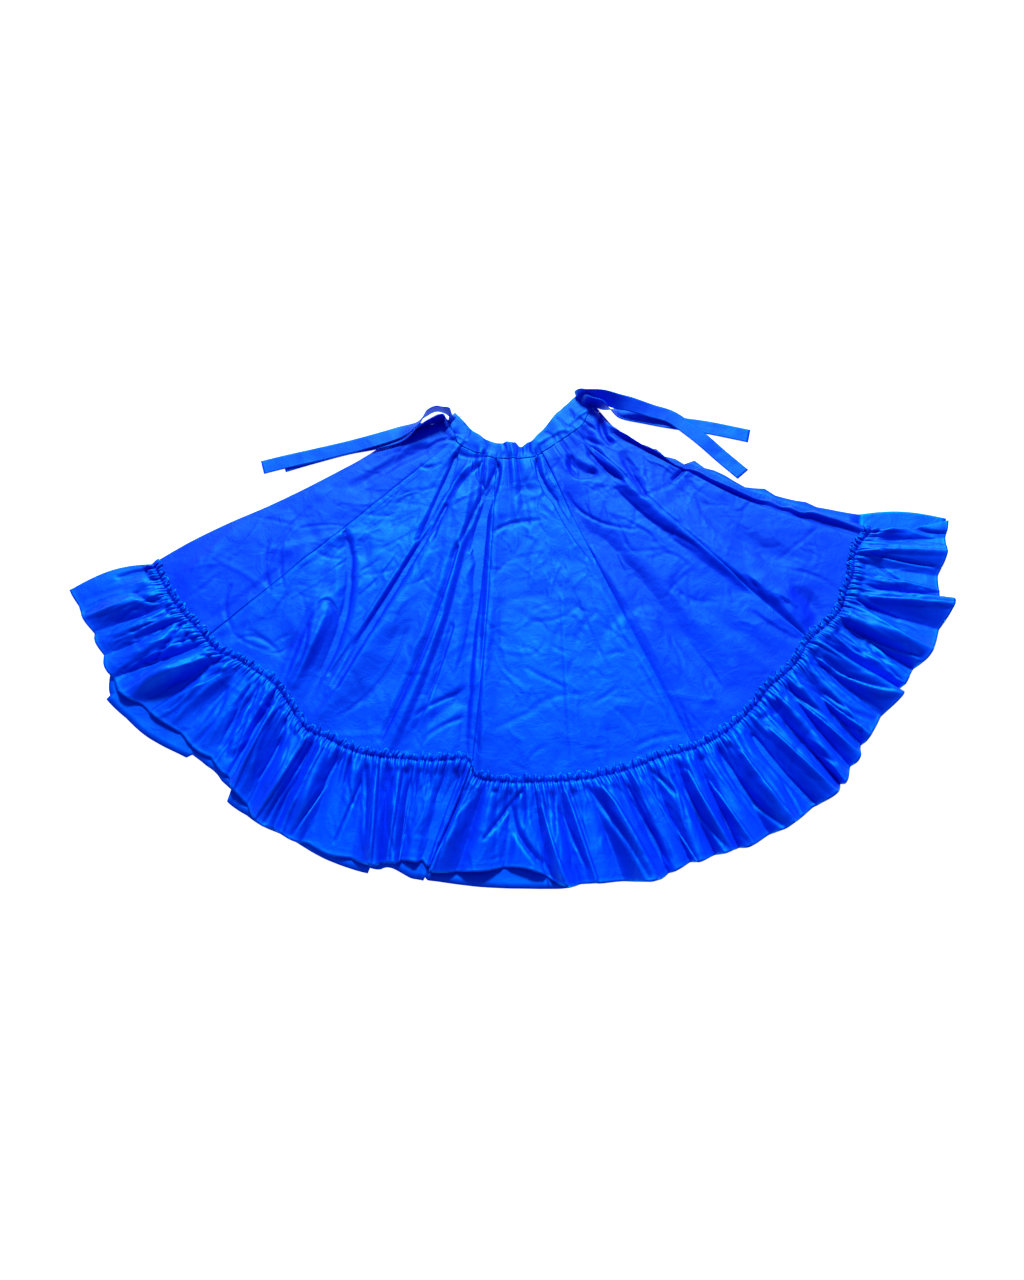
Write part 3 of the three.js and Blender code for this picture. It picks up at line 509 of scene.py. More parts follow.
# Each gore's first and last fold, its cut in metres (width at the ruffle's seam, length) and the cut's area.
# The back is cut like the front.
gores = [
    ("left_side_gore", 0, 3.3, (0.22, 0.68), 0.095),
    ("left_gore", 3.3, 15.4, (0.64, 0.72), 0.265),
    ("centre_gore", 15.4, 24.7, (0.46, 0.73), 0.197),
    ("right_gore", 24.7, 31.2, (0.34, 0.72), 0.158),
    ("right_side_gore", 31.2, lastFold, (0.33, 0.68), 0.118),
]
overlapInFolds = 0.05          # allowance of a front seam, tucked under the piece before
tuckDepth = 1.1
seamGap = 0.05                 # between the back's panels and its ruffle
panelCreases = table("topX topY midX midY endX endY width height steep", [
    # below the waistband and down the left gores
    (-117, 421, -144, 341, -190, 226, 12, -10, 1), (-95, 406, -129, 341, -172, 230, 10, 4),
    (-68, 408, -121, 341, -160, 230, 11, -7, 1), (-70, 408, -70, 376, -57, 353, 8, -4),
    (-56, 348, -83, 278, -122, 184, 11, -5), (-29, 408, -36, 341, -80, 211, 20, -9, 1),
    (-25, 421, -38, 386, -54, 348, 9, -4), (-37, 244, 4, 266, 58, 272, 8, -3),
    (52, 421, 59, 368, 85, 317, 12, -9, -1), (85, 317, 119, 244, 160, 181, 10, -6, -1),
    (123, 423, 135, 383, 171, 386, 15, -8), (117, 421, 127, 401, 139, 386, 8, 4),
    (190, 529, 195, 493, 211, 463, 15, -10), (170, 431, 198, 401, 231, 371, 14, -6, 1),
    (218, 348, 269, 288, 316, 249, 16, -4, 1), (316, 249, 352, 230, 383, 202, 14, -4, 1),
    (117, 334, 161, 278, 251, 249, 9, -3.5), (237, 411, 264, 361, 279, 331, 10, -5),
    (339, 371, 354, 386, 372, 406, 11, -6), (252, 466, 298, 446, 349, 415, 10, -6, -1),
    (-179, 449, -139, 472, -92, 459, 10, -4), (-148, 498, -128, 474, -94, 463, 8, -3),
    (-192, 406, -177, 401, -152, 411, 9, -4), (-110, 435, -68, 428, -38, 445, 10, -5),
    (0, 472, 9, 446, 22, 428, 9, -4), (17, 456, 26, 444, 32, 426, 8, -3), (45, 436, 68, 456, 98, 472, 9, 4),
    (133, 490, 158, 472, 192, 456, 10, -4), (-497, 220, -497, 158, -482, 108, 8, -3),
    (-467, 210, -467, 164, -455, 113, 7, -2), (-563, 118, -569, 73, -550, 24, 10, -3),
    (-344, 241, -330, 98, -367, -66, 13, -8, -1), (-390, 66, -366, 86, -341, 41, 9, -5),
    (-367, 58, -387, -10, -417, -90, 24, 6), (-400, 29, -408, -38, -434, -104, 9, -4),
    (-134, 305, -229, 118, -335, -99, 11, -8, 1), (-167, 262, -259, 98, -355, -113, 12, 4),
    (-111, 210, -163, 19, -244, -207, 12, -6, 1), (-116, 29, -147, -85, -182, -185, 12, -5, 1),
    (-100, -113, -142, -131, -183, -158, 10, -4), (-94, -163, -140, -185, -173, -216, 10, -4),
    (-706, 194, -583, 268, -462, 347, 8, -4, 1), (-532, 305, -590, 247, -631, 194, 22, -4),
    (-542, 10, -510, -11, -470, -21, 7, -2), (-487, -22, -456, -27, -431, -13, 7, -2),
    (-414, 210, -460, 118, -522, 19, 40, 3),
    # the rest of the left panels
    (-540, 0, -500, 5, -460, -20, 10, -2), (-420, 300, -480, 210, -490, 120, 12, -2),
    (-395, 60, -420, -20, -440, -95, 10, -3.5), (-140, 60, -190, -80, -238, -190, 12, -4, 1),
    (-205, 20, -255, -90, -330, -160, 10, -3),
    # the centre gore
    (50, 268, 8, 262, -40, 245, 12, -2), (-50, 38, -34, 20, -14, 4, 9, -2),
    (-22, -38, -12, -65, 12, -82, 8, -1.8), (30, -62, 60, -80, 102, -100, 9, -2.2),
    (80, -14, 95, -24, 114, -36, 7, -1.5), (158, -132, 180, -118, 200, -104, 9, -1.8),
    (190, -120, 204, -122, 218, -124, 7, -1.2), (130, -231, 150, -226, 174, -224, 6, -1.5),
    (233, -218, 265, -203, 310, -193, 12, -3, 1), (228, -242, 255, -228, 278, -221, 8, -1.5),
    (-2, -254, 14, -262, 28, -270, 7, -2), (30, -250, 45, -231, 67, -219, 7, -1.5),
    (-60, -98, -56, -130, -47, -172, 8, -1.2), (100, 110, 104, -80, 114, -272, 20, 2.2, -1),
    (124, 102, 150, 30, 186, -62, 9, -1.3), (170, 110, 215, 10, 245, -50, 9, -1.3),
    (248, -60, 288, -140, 322, -218, 10, -2.2), (305, 42, 352, -22, 394, -84, 20, -5, 1),
    # the right panels
    (322, -138, 336, -188, 352, -222, 6, -1.5), (326, -142, 354, -178, 378, -206, 7, -1.5),
    (376, -78, 374, -112, 415, -182, 8, -1.3), (480, 60, 515, 30, 560, 0, 16, -4, 1),
])
panelCreases["height"] *= np.where(np.abs(panelCreases["height"]) > 5.5, 1.3, 0.8)
crumpleKinds = [
    {"seed": 1, "count": 330, "down": (0.03, 0.97), "length": (24, 120), "width": (7, 15),
     "height": (0.3, 1.3), "spread": 0.55, "crossing": 0.2},
    {"seed": 2, "count": 110, "down": (0.1, 1), "length": (70, 260), "width": (22, 50),
     "height": (0.6, 2.4), "spread": 0.35, "crossing": 0.1},
    {"seed": 3, "count": 420, "down": (0.2, 0.99), "length": (14, 50), "width": (5.5, 9),
     "height": (0.3, 0.9), "spread": 0.8, "crossing": 0.3},
]
panelCrumples = [crumples(kind, frontPlan) for kind in crumpleKinds]


def waistShare(fold):
    return np.interp(fold, fineFolds, waistLengths) / waistLengths[-1]


def frontPanelHeight(fold, down, plan):
    s = panelSettings
    inside = np.clip(np.minimum(fold, lastFold - fold), 0, 1)
    side = np.sin(np.pi / 2 * inside)
    share = waistShare(fold)
    gather = s["waistGathers"] * share
    gather = gather + 0.3 * np.sin(1.7 * gather + 1) + 0.22 * np.sin(3.3 * gather)
    swell = 1 + 0.75 * uneven(np.floor(gather))
    fade = np.maximum(0, 1 - down / (s["waistFade"] * (0.45 + swell))) * np.minimum(1, 0.6 + 10 * down)
    fade = fade * smooth(2, 9, fold) * (1 - smooth(33, 36, fold))
    gathers = s["waistRise"] * swell * fade * 2 * np.abs(np.sin(np.pi * gather)) ** 1.2
    fine = s["fineGathers"] * share
    fine = fine + 0.3 * np.sin(2.3 * fine)
    fineReach = 0.07 * (1 + 0.8 * uneven(np.floor(fine) + 500))
    fineFade = np.maximum(0, 1 - down / fineReach) * np.minimum(1, 30 * down)
    gathers = gathers + s["fineRise"] * fineFade * 2 * np.abs(np.sin(np.pi * fine))
    calm = 1 - s["seamCalm"] * smooth(0.85, 1, down)
    base = s["puff"] * calm + creaseHeight(panelFolds, plan, s["foldKeen"]) * calm + gathers
    rise = side * np.maximum(0, base)
    seen = seenOnFloor(plan, rise)
    small = creaseHeight(panelCreases, seen)
    for rows in panelCrumples:
        small = small + creaseHeight(rows, plan)
    rise = rise + side * small * calm
    fromEdge = (lastFold - fold) * np.interp(down, [0, 1], s["edgeFoldWidths"])
    ridge = bell(fromEdge - s["edgeRidgeAt"], s["edgeRidgeWidth"])
    ridge = ridge - s["edgeTrough"] * bell(fromEdge - s["edgeTroughAt"], s["edgeTroughWidth"])
    rise = rise + s["edgeRidge"] * ridge * smooth(0, 0.15, down) * (0.7 + 0.3 * np.sin(19 * down + 4))
    for _, start, *_ in gores[1:]:
        distance = np.hypot(*(plan - frontPlan(np.full_like(fold, start), down)).T)
        rise = rise - s["seamDip"] * bell(distance, s["seamWidth"])
        fall = smooth(s["allowance"] - 3, s["allowance"], distance)
        rise = rise + s["allowanceRise"] * (fold > start) * (1 - fall)
    return layout["frontLevel"] + np.maximum(rise, -0.3)


# At both ends the gores start higher up on the waistband, by a share of its height, and the left ones swing
# out below it, in millimetres
waistEnds = {"left": 0.5, "right": 0.3, "swing": 22, "backSwing": 46}


def waistEndShare(fold):
    return waistEnds["left"] * (1 - smooth(0, 6, fold)) + waistEnds["right"] * smooth(32, lastFold, fold)


# The right edges of both layers wander in and out
def scalloped(plan, fold, down):
    near = np.maximum(0, 1 - (lastFold - fold) / 0.6) ** 2
    near = near * smooth(0.02, 0.1, down) * (1 - smooth(0.85, 0.97, down))
    wave = np.sin(61 * down + 2 * np.sin(17 * down)) + 0.6 * np.sin(29 * down + 1)
    plan[:, 1] += panelSettings["scallop"] * near * wave
    return plan


def raisedAtEnds(plan, fold, down):
    upward = planPoint(ribs, "top", fold) - planPoint(ribs, "waist", fold)
    fade = np.maximum(0, 1 - down / 0.22) ** 2
    plan = plan + upward * (waistEndShare(fold) * fade)[:, None]
    near = np.maximum(0, 1 - fold / 2.2) ** 2
    plan[:, 1] += waistEnds["swing"] * near * smooth(-0.04, 0.09, down) * (1 - smooth(0.1, 0.3, down))
    return plan


def frontPanelPoint(fold, down):
    plan = raisedAtEnds(frontPlan(fold, down), fold, down)
    height = frontPanelHeight(fold, np.minimum(down, 1), plan)
    return np.column_stack([scalloped(plan, fold, down), height])


# Depth by which a piece's first edge lies under the piece before it
def tuckedUnder(fold, start):
    return tuckDepth * (1 - smooth(start - 0.6 * overlapInFolds, start + 0.1, fold)) * (start > 0)


wholeSeam = seamLengths[-1]


def columnsBetween(start, end, columns):
    part = np.diff(np.interp([start, end], fineFolds, seamLengths))[0] / wholeSeam
    return round(columns * part)


for name, start, end, flat, area in gores:
    def goreShape(across, down, start=start, end=end):
        fold = foldsBetween(max(0, start - overlapInFolds), end, across)
        points = frontPanelPoint(fold, down * (1 + downFor(fold, panelSettings["tuck"])))
        points[:, 2] -= tuckedUnder(fold, start)
        return points

    cloth = panelTaffeta if name in ("left_gore", "centre_gore") else slantTaffeta
    columns = columnsBetween(start, end, panelSettings["columns"])
    rows = panelSettings["rows"]
    makeSheet("front_" + name, columns, rows, goreShape, cloth)
print("front gores ready")

# Back panels, flat on the floor
for name, start, end, flat, area in gores:
    def goreShape(across, down, start=start, end=end):
        fold = foldsBetween(start, end, across)
        plan = backPlan(fold, down * (1 - downFor(fold, seamGap)))
        plan = scalloped(plan, fold, down + 0.03)
        near = np.maximum(0, 1 - fold / 1.6)
        swing = smooth(-0.01, 0.06, down) * (1 - smooth(0.08, 0.3, down))
        plan[:, 1] += waistEnds["backSwing"] * near * swing
        return np.column_stack([plan, np.full(len(plan), layout["backLevel"])])

    columns = max(12, round((end - start) * 3))
    rows = panelSettings["backRows"]
    makeSheet("back_" + name, columns, rows, goreShape, slantTaffeta)
print("back gores ready")

# Front ruffle
ruffleSettings = {
    "depth": 200,              # from the stitch line to the hem
    "heading": 13,             # frill standing above the stitch line
    "headingRise": 4.2,
    "clearance": 1.3,          # heading above the panel
    "gathers": 140,
    "gatherRise": 5,
    "gatherRun": (26, 121),    # how far down the shortest and the longest gather runs
    "fineGather": 2.2,         # finer puckers right below the stitching
    "fineRun": 28,
    "wideGather": 4.6,         # wider ones that run farther down
    "wideRun": 125,
    "wideRunSpread": 60,
    "wideMoreLeft": 0.7,
    "jitter": 0.22,
    "frillWobble": 3.4,        # unevenness of the heading's edge
    "stitchDip": 0.7,
    "stitchWidth": 1.6,
    "valleyDip": 0.035,
    "leftEndBulge": 17,
    "rightEndBulge": -8,
    "backRightEndBulge": 12,
    "hem": 8,
    "hemRise": 0.5,            # the turned hem is double, with its stitching drawn in
    "columns": 1700,
    "backColumns": 18,         # in each fold
    "backRows": 18,
    "crestPower": 0.62,
    "leftMore": 0.35,          # how much higher the left folds are, and how much lower their hem
    "leftHemFlat": 0.62,
    "leanMore": 1.25,
    "shown": 0.213,            # depths of the cuts in metres: the front's heading lies on the panels
    "backShown": 0.2,
}
# Each length's first and last fold, and the widths of the front's and the back's cut in metres
ruffleLengths = [("ruffle_1", 0, 9.5, 0.76, 0.70), ("ruffle_2", 9.5, 18.5, 0.62, 0.56),
                 ("ruffle_3", 18.5, 27.5, 0.73, 0.62), ("ruffle_4", 27.5, lastFold, 0.76, 0.70)]
# How high a fold stands on its way down to the hem, as a share of its height
dropShares = [0, 0.09, 0.36, 0.68, 1]
riseShares = [0, 0.45, 0.9, 1.1, 1]
# Rows down the ruffle, in millimetres from the stitch line: close together at the gathers
rowPlaces = np.concatenate([np.linspace(-ruffleSettings["heading"], 0, 8), np.linspace(3, 42, 14),
                            np.linspace(47, ruffleSettings["depth"], 34)])


# Places of the small gathers' crests and valleys, the lengths' ends falling in valleys
def gatherPlaces():
    count = 2 * ruffleSettings["gathers"]
    k = np.arange(count + 1)
    jitter = np.where(k % count == 0, 0, ruffleSettings["jitter"] * uneven(k))
    places = np.interp(wholeSeam * (k + jitter) / count, seamLengths, fineFolds)
    for _, _, end, *_ in ruffleLengths[:-1]:
        valley = 2 * np.argmin(np.abs(places[0::2] - end))
        places[valley] = end
    return places


gatherAt = gatherPlaces()


# Counts the gathers along the seam: whole numbers lie in valleys
def gatherPhase(fold):
    return np.interp(fold, gatherAt, np.arange(len(gatherAt))) / 2


def ruffleCrest(fold):
    return ((1 + np.cos(2 * np.pi * fold)) / 2) ** ruffleSettings["crestPower"]


# Small gathers: pinched at the stitch line, each running down a different way
def gatherHeight(fold, distance):
    s = ruffleSettings
    phase = gatherPhase(fold)
    which = np.floor(phase)
    strength = 0.35 + 1.3 * (0.5 + 0.5 * uneven(which * 2 + 1)) ** 1.6
    short, far = s["gatherRun"]
    reach = short + (far - short) * (0.5 + 0.5 * uneven(which * 3 + 7)) ** 3
    swell = (0.45 + 0.55 * smooth(0, 8, distance)) * (1 - smooth(12, np.maximum(reach, 20), distance))
    main = s["gatherRise"] * strength * np.abs(np.sin(np.pi * phase)) * swell
    fine = phase * 2.4 + 0.3 * np.sin(phase * 1.9)
    fineStrength = 1 + 0.8 * uneven(np.floor(fine) + 900)
    fineSwell = (0.6 + 0.4 * smooth(-1, 4, distance)) * (1 - smooth(5, s["fineRun"], distance))
    main = main + s["fineGather"] * fineStrength * np.abs(np.sin(np.pi * fine)) * fineSwell
    wide = phase / 2.3 + 0.2 * np.sin(phase * 0.7)
    wideStrength = 1.5 * (0.5 + 0.5 * uneven(np.floor(wide) + 300)) ** 1.5
    wideReach = s["wideRun"] + s["wideRunSpread"] * uneven(np.floor(wide) * 5 + 3)
    wideSwell = smooth(5, 40, distance) * (1 - smooth(45, wideReach, distance))
    left = 1 + s["wideMoreLeft"] * (1 - smooth(8, 13, fold))
    return main + s["wideGather"] * left * wideStrength * wideSwell * np.abs(np.sin(np.pi * wide)) ** 1.3


def rufflePlan(fold, down):
    seam = planPoint(ruffleFolds, "seam", fold)
    hem = planPoint(ruffleFolds, "hem", fold)
    return seam + (hem - seam) * down[:, None]


ruffleCrumpleKinds = [
    {"seed": 5, "count": 300, "down": (0.12, 0.8), "length": (40, 150), "width": (8, 16),
     "height": (0.6, 2.8), "spread": 0.12, "crossing": 0.02},
    {"seed": 6, "count": 420, "down": (0.15, 0.97), "length": (16, 60), "width": (5, 9),
     "height": (0.3, 1), "spread": 0.4, "crossing": 0.15},
]
ruffleCrumples = [crumples(kind, rufflePlan) for kind in ruffleCrumpleKinds]


def frontRufflePoint(fold, distance):
    s = ruffleSettings
    phase = gatherPhase(fold)
    wobble = 1 + s["frillWobble"] / s["heading"] * (np.sin(5.1 * phase) + 0.7 * np.sin(11.7 * phase + 2))
    above = np.minimum(distance, 0) * wobble
    headDown = 1 + downFor(fold, above)
    headPlan = frontPlan(fold, headDown)
    panel = frontPanelHeight(fold, np.minimum(headDown, 1), headPlan)
    drop = np.clip(distance / s["depth"], 0, 1)
    top = ruffleCrest(fold)
    inside = np.clip(np.minimum(fold, lastFold - fold), 0, 1)
    plan = rufflePlan(fold, drop * (1 - s["valleyDip"] * (1 - top) * drop * inside))
    bulge = np.sin(np.pi * drop)
    plan[:, 1] += s["leftEndBulge"] * bulge * np.maximum(0, 1 - fold)
    plan[:, 1] += s["rightEndBulge"] * bulge * np.maximum(0, 1 - lastFold + fold)
    ahead = planPoint(ruffleFolds, "hem", np.minimum(fold + 0.05, lastFold))
    behind = planPoint(ruffleFolds, "hem", np.maximum(fold - 0.05, 0))
    sideways = ahead - behind
    sideways /= np.hypot(*sideways.T)[:, None]
    plan += sideways * (along(ruffleFolds, "lean", fold) * s["leanMore"] * top * drop)[:, None]
    headPlan = headPlan + sideways * (1.9 * np.sin(9.3 * phase) * above / s["heading"])[:, None]
    plan = np.where((distance < 0)[:, None], headPlan, plan)
    # heading and stitch line lie on the panels
    frill = 0
    for pace, share, spread, first in ((1, 0.6, 0.6, 70), (2.4, 0.75, 0.7, 170)):
        unevenFrill = 1 + spread * uneven(np.floor(pace * phase) + first)
        frill = frill + share * np.abs(np.sin(pace * np.pi * phase)) * unevenFrill
    headRise = s["headingRise"] * frill * smooth(-0.5, -0.55 * s["heading"], distance)
    through = gatherHeight(fold, np.zeros_like(fold)) * (1 - 0.4 * smooth(0, -6, distance))
    headHeight = panel + s["clearance"] + through + headRise
    rise = np.interp(drop, dropShares, riseShares) * np.maximum(0, along(ruffleFolds, "rise", fold)) * top
    left = 1 - smooth(9, 14, fold)
    rise = rise * (1 + left * (s["leftMore"] - (s["leftMore"] + s["leftHemFlat"]) * smooth(0.45, 1, drop)))
    fromPanel = np.maximum(0, 1 - drop / 0.3)
    puff = (panel + s["clearance"] - layout["frontLevel"]) * fromPanel
    dropHeight = layout["frontLevel"] + 0.3 + rise + np.maximum(puff, 0) + gatherHeight(fold, distance)
    height = np.where(distance <= 0, headHeight, dropHeight)
    height = height - s["stitchDip"] * bell(distance, s["stitchWidth"])
    small = creaseHeight(ruffleCreases, seenOnFloor(plan, height))
    for rows in ruffleCrumples:
        small = small + creaseHeight(rows, plan)
    height = height + small * smooth(0, 25, distance)
    fromHem = s["depth"] - distance - s["hem"]
    height = height + s["hemRise"] * (1 - smooth(-1, 1, fromHem) - bell(fromHem, 1.2))
    return np.column_stack([plan, np.maximum(height, layout["frontLevel"] - 0.2)])


ruffleCreases = table("topX topY midX midY endX endY width height steep", [
    (-725, 155, -757, 150, -790, 140, 12, -3), (-750, 100, -720, 88, -700, 95, 14, -4),
    (-680, 75, -700, 50, -750, 20, 10, -3), (-650, 45, -672, 4, -695, -38, 12, -5),
    (-630, 30, -640, 10, -650, -10, 8, -3), (-720, -45, -710, -48, -700, -50, 10, -2),
    (-570, -65, -620, -92, -700, -145, 16, -7), (-505, -100, -525, -150, -540, -220, 9, -3.5, 1),
    (-485, -95, -505, -170, -520, -240, 9, -3.5, 1), (-455, -105, -480, -190, -517, -275, 14, -6, 1),
    (-430, -170, -440, -230, -468, -280, 10, -3), (-375, -215, -420, -300, -450, -365, 10, -3),
    (-310, -225, -345, -295, -400, -390, 9, -4, 1), (-280, -290, -300, -345, -320, -400, 7, -2),
    (-270, -260, -267, -320, -265, -380, 9, -3), (-185, -260, -195, -350, -205, -440, 11, -5, 1),
    (-100, -280, -128, -360, -150, -440, 12, -5, 1), (25, -295, 0, -330, -50, -395, 10, -4),
    (20, -310, 22, -340, 20, -370, 9, -3), (0, -340, 20, -400, 90, -480, 14, -6),
    (85, -340, 110, -395, 135, -450, 9, -3), (140, -300, 190, -370, 245, -465, 14, -4),
    (215, -300, 248, -370, 280, -440, 9, -3), (265, -270, 283, -290, 300, -310, 10, -4),
    (300, -280, 340, -345, 395, -420, 13, -5), (385, -220, 425, -300, 500, -375, 16, -6),
    (495, -280, 510, -315, 525, -350, 7, -2), (455, -200, 500, -275, 560, -330, 15, -6),
    (495, -160, 545, -205, 600, -250, 10, -4), (530, -100, 590, -150, 660, -190, 11, -4),
    (600, -110, 645, -145, 690, -165, 12, -4), (580, -50, 615, -65, 650, -80, 7, -2),
    (640, 15, 665, -10, 690, -35, 12, -5), (695, -10, 722, -48, 750, -85, 9, -3),
    (650, 45, 710, 5, 795, -32, 18, -7), (690, 85, 725, 65, 760, 45, 10, -3),
    (745, 160, 762, 145, 780, 130, 8, -2.5), (730, 195, 790, 178, 850, 165, 9, -3),
    (805, 275, 850, 245, 900, 240, 14, -5), (704, 280, 726, 256, 748, 249, 11, -4),
    (748, 249, 775, 262, 806, 282, 13, -5),
    # lit ridges beside the troughs
    (-430, -125, -470, -180, -515, -305, 13, 3.5, 1), (-385, -190, -410, -250, -470, -360, 13, 3.5, 1),
    (-350, -210, -390, -300, -420, -390, 13, 3.5, 1), (-250, -250, -252, -345, -255, -443, 12, 4.5, 1),
    (-205, -250, -215, -345, -225, -440, 12, 4, 1), (-75, -280, -110, -350, -145, -458, 13, 5, 1),
    (50, -300, 68, -390, 100, -480, 13, 5, 1), (100, -310, 125, -390, 150, -470, 12, 5, 1),
    (165, -300, 200, -350, 260, -470, 14, 6, 1), (245, -290, 288, -365, 330, -440, 13, 5, 1),
    (325, -270, 362, -345, 400, -420, 13, 5, 1), (365, -290, 401, -348, 437, -405, 10, 3.5, 1),
    (430, -235, 472, -300, 515, -365, 14, 6, 1), (490, -190, 545, -250, 600, -310, 14, 6, 1),
    (510, -120, 560, -180, 620, -265, 12, 5, 1), (545, -130, 598, -182, 650, -235, 12, 5, 1),
    (560, -100, 618, -148, 675, -195, 12, 5, 1), (600, -45, 660, -90, 740, -110, 13, 5, 1),
    (690, 0, 728, -40, 765, -80, 12, 5, 1), (690, 80, 740, 30, 820, -20, 14, 6, 1),
    (720, 95, 800, 88, 880, 80, 12, 4, 1), (740, 140, 795, 125, 850, 110, 12, 4, 1),
    (745, 205, 815, 203, 885, 200, 12, 4, 1),
])
ruffleCreases["height"] *= np.where(ruffleCreases["midX"] < -250, 1.7, 1.5)
for name, start, end, width, _ in ruffleLengths:
    def ruffleShape(across, down, start=start, end=end):
        fold = foldsBetween(max(0, start - overlapInFolds), end, across)
        distance = np.interp(down * (len(rowPlaces) - 1), np.arange(len(rowPlaces)), rowPlaces)
        points = frontRufflePoint(fold, distance)
        points[:, 2] -= tuckedUnder(fold, start)
        return points

    columns = columnsBetween(start, end, ruffleSettings["columns"])
    makeSheet("front_" + name, columns, len(rowPlaces) - 1, ruffleShape, ruffleTaffeta)
print("front ruffle ready")

# Back ruffle
# Corners of its hem where folded layers end: each edge runs out or in on its way to the corner and after it
hemCorners = table("at before reachBefore after reachAfter", [
    (4, 0, 0.2, 10, 0.6), (5.95, 3, 0.7, -7, 0.6), (7.8, -12, 0.5, 10, 0.8), (11.95, 3, 0.8, -8, 0.6),
    (15.2, 2, 0.7, -5, 0.5),
])


def hemSteps(fold):
    total = np.zeros_like(fold)
    for at, before, reachBefore, after, reachAfter in zip(*hemCorners.values()):
        rising = np.clip(1 - (at - fold) / reachBefore, 0, 1) * (fold <= at)
        falling = np.clip(1 - (fold - at) / reachAfter, 0, 1) * (fold > at)
        total += before * rising + after * falling
    return total


for name, start, end, _, width in ruffleLengths:
    def ruffleShape(across, down, start=start, end=end):
        s = ruffleSettings
        fold = foldsBetween(start, end, across)
        near = np.clip(1 - (lastFold - fold) / 3, 0, 1)[:, None]
        seam = backPlan(fold, np.ones_like(fold))
        hem = planPoint(ruffleFolds, "hem", fold) * (1 - near) + planPoint(backFolds, "hem", fold) * near
        outward = (hem - seam) / np.hypot(*(hem - seam).T)[:, None]
        hem = hem + outward * (along(ruffleFolds, "back", fold) + hemSteps(fold))[:, None]
        first = seam + outward * seamGap
        plan = first + (hem - first) * down[:, None]
        bulge = np.sin(np.pi * down)
        plan[:, 1] += s["leftEndBulge"] * bulge * np.maximum(0, 1 - fold)
        plan[:, 1] += s["backRightEndBulge"] * bulge * np.maximum(0, 1 - lastFold + fold)
        wave = 0.36 * (1 - np.cos(2 * np.pi * fold * 1.7)) * smooth(0.2, 1, down)
        return np.column_stack([plan, layout["backLevel"] + wave])

    columns = round((end - start) * ruffleSettings["backColumns"])
    makeSheet("back_" + name, columns, ruffleSettings["backRows"], ruffleShape, ruffleTaffeta)
print("back ruffle ready")

# Waistband
bandSettings = {
    "ripple": 3,
    "ripples": 11,
    "clearance": 1.6,
    "liftMiddle": 9,
    "liftEnds": 3,
    "thickness": 1.4,
    "backThickness": 1.6,
    "cut": (0.42, 0.05),
}
# Rows of stitching: share of the band's width above them, and depth
bandGrooves = {"top": (0.06, 0.4), "seam": (0.93, 0.15)}


# Wrinkles of the band, and the gathers that push its top edge out in the middle
bandCreases = table("topX topY midX midY endX endY width height steep", [
    (-150, 487, -132, 486, -112, 478, 8, -2.5), (-143, 483, -117, 477, -98, 462, 9, 2.5),
    (-100, 505, -92, 488, -98, 468, 8, -2), (-62, 470, -52, 455, -50, 440, 7, -2),
    (-20, 455, -14, 440, -16, 425, 8, -3), (-2, 455, 0, 440, 3, 425, 8, 3),
    (12, 455, 14, 440, 13, 425, 8, -3), (26, 456, 26, 445, 27, 425, 8, 3),
    (38, 460, 36, 445, 38, 428, 8, -3), (60, 453, 93, 480, 123, 487, 10, 3, -1),
    (72, 485, 88, 470, 92, 452, 8, -2.5), (123, 503, 143, 525, 177, 547, 11, 3.5, -1),
    (127, 542, 131, 528, 130, 512, 8, -2.5), (98, 520, 112, 505, 118, 488, 8, -2),
])
bandBumps = table("at push", [(-10, 4), (7, 5), (20, -3), (33, 5), (44, -3), (-70, 2), (95, 3), (120, -2)])


def frontBandShape(across, down):
    s = bandSettings
    fold = lastFold * across
    plan = planPoint(ribs, "top", fold)
    plan = plan + (planPoint(ribs, "waist", fold) - plan) * (down * (1.03 - waistEndShare(fold)))[:, None]
    for at, push in zip(bandBumps["at"], bandBumps["push"]):
        plan[:, 1] += push * bell(plan[:, 0] - at, 7) * (1 - down) * smooth(0, 0.05, across)
    share = waistShare(fold)
    arch = np.sin(np.pi * share)
    lift = s["liftEnds"] + (s["liftMiddle"] - s["liftEnds"]) * arch
    ripple = s["ripple"] * np.sin(np.pi * s["ripples"] * share) * arch
    upper = layout["frontLevel"] + s["clearance"] + lift + ripple
    waist = np.full_like(fold, 0.004)
    lower = frontPanelHeight(fold, waist, frontPlan(fold, waist)) + 0.7
    toPanel = smooth(0.45, 1, down)
    height = upper * (1 - toPanel) + lower * toPanel + creaseHeight(bandCreases, plan)
    for place, depth in bandGrooves.values():
        height = height - depth * bell(down - place, 0.02)
    return np.column_stack([plan, height])


def backBandShape(across, down):
    fold = lastFold * across
    near = np.clip(1 - (lastFold - fold) / 9, 0, 1)[:, None]
    top = planPoint(ribs, "top", fold) * (1 - near) + planPoint(backRibs, "top", fold) * near
    seam = backPlan(fold, np.zeros_like(fold))
    step = down[:, None] * 0.99
    return np.column_stack([top * (1 - step) + seam * step, np.full(len(top), layout["backLevel"] + 0.3)])


makeSheet("front_waistband", 240, 16, frontBandShape, bandTaffeta,
          thickness=bandSettings["thickness"])
makeSheet("back_waistband", 160, 8, backBandShape, bandTaffeta,
          thickness=bandSettings["backThickness"])
print("waistband ready")

# Stitches: small beads of thread that stand a little proud of the cloth, in millimetres
stitch = {"pitch": 3.4, "halfLength": 1.15, "hemRadius": 0.75, "bandRadius": 0.65, "tieRadius": 0.9}
sewingThread = taffeta("blue polyester sewing thread", {
    "rib": 0.5, "crumpleHeight": 0.1, "puckerHeight": 0.1, "paintedCreaseShade": 1, "bend": 0.5})


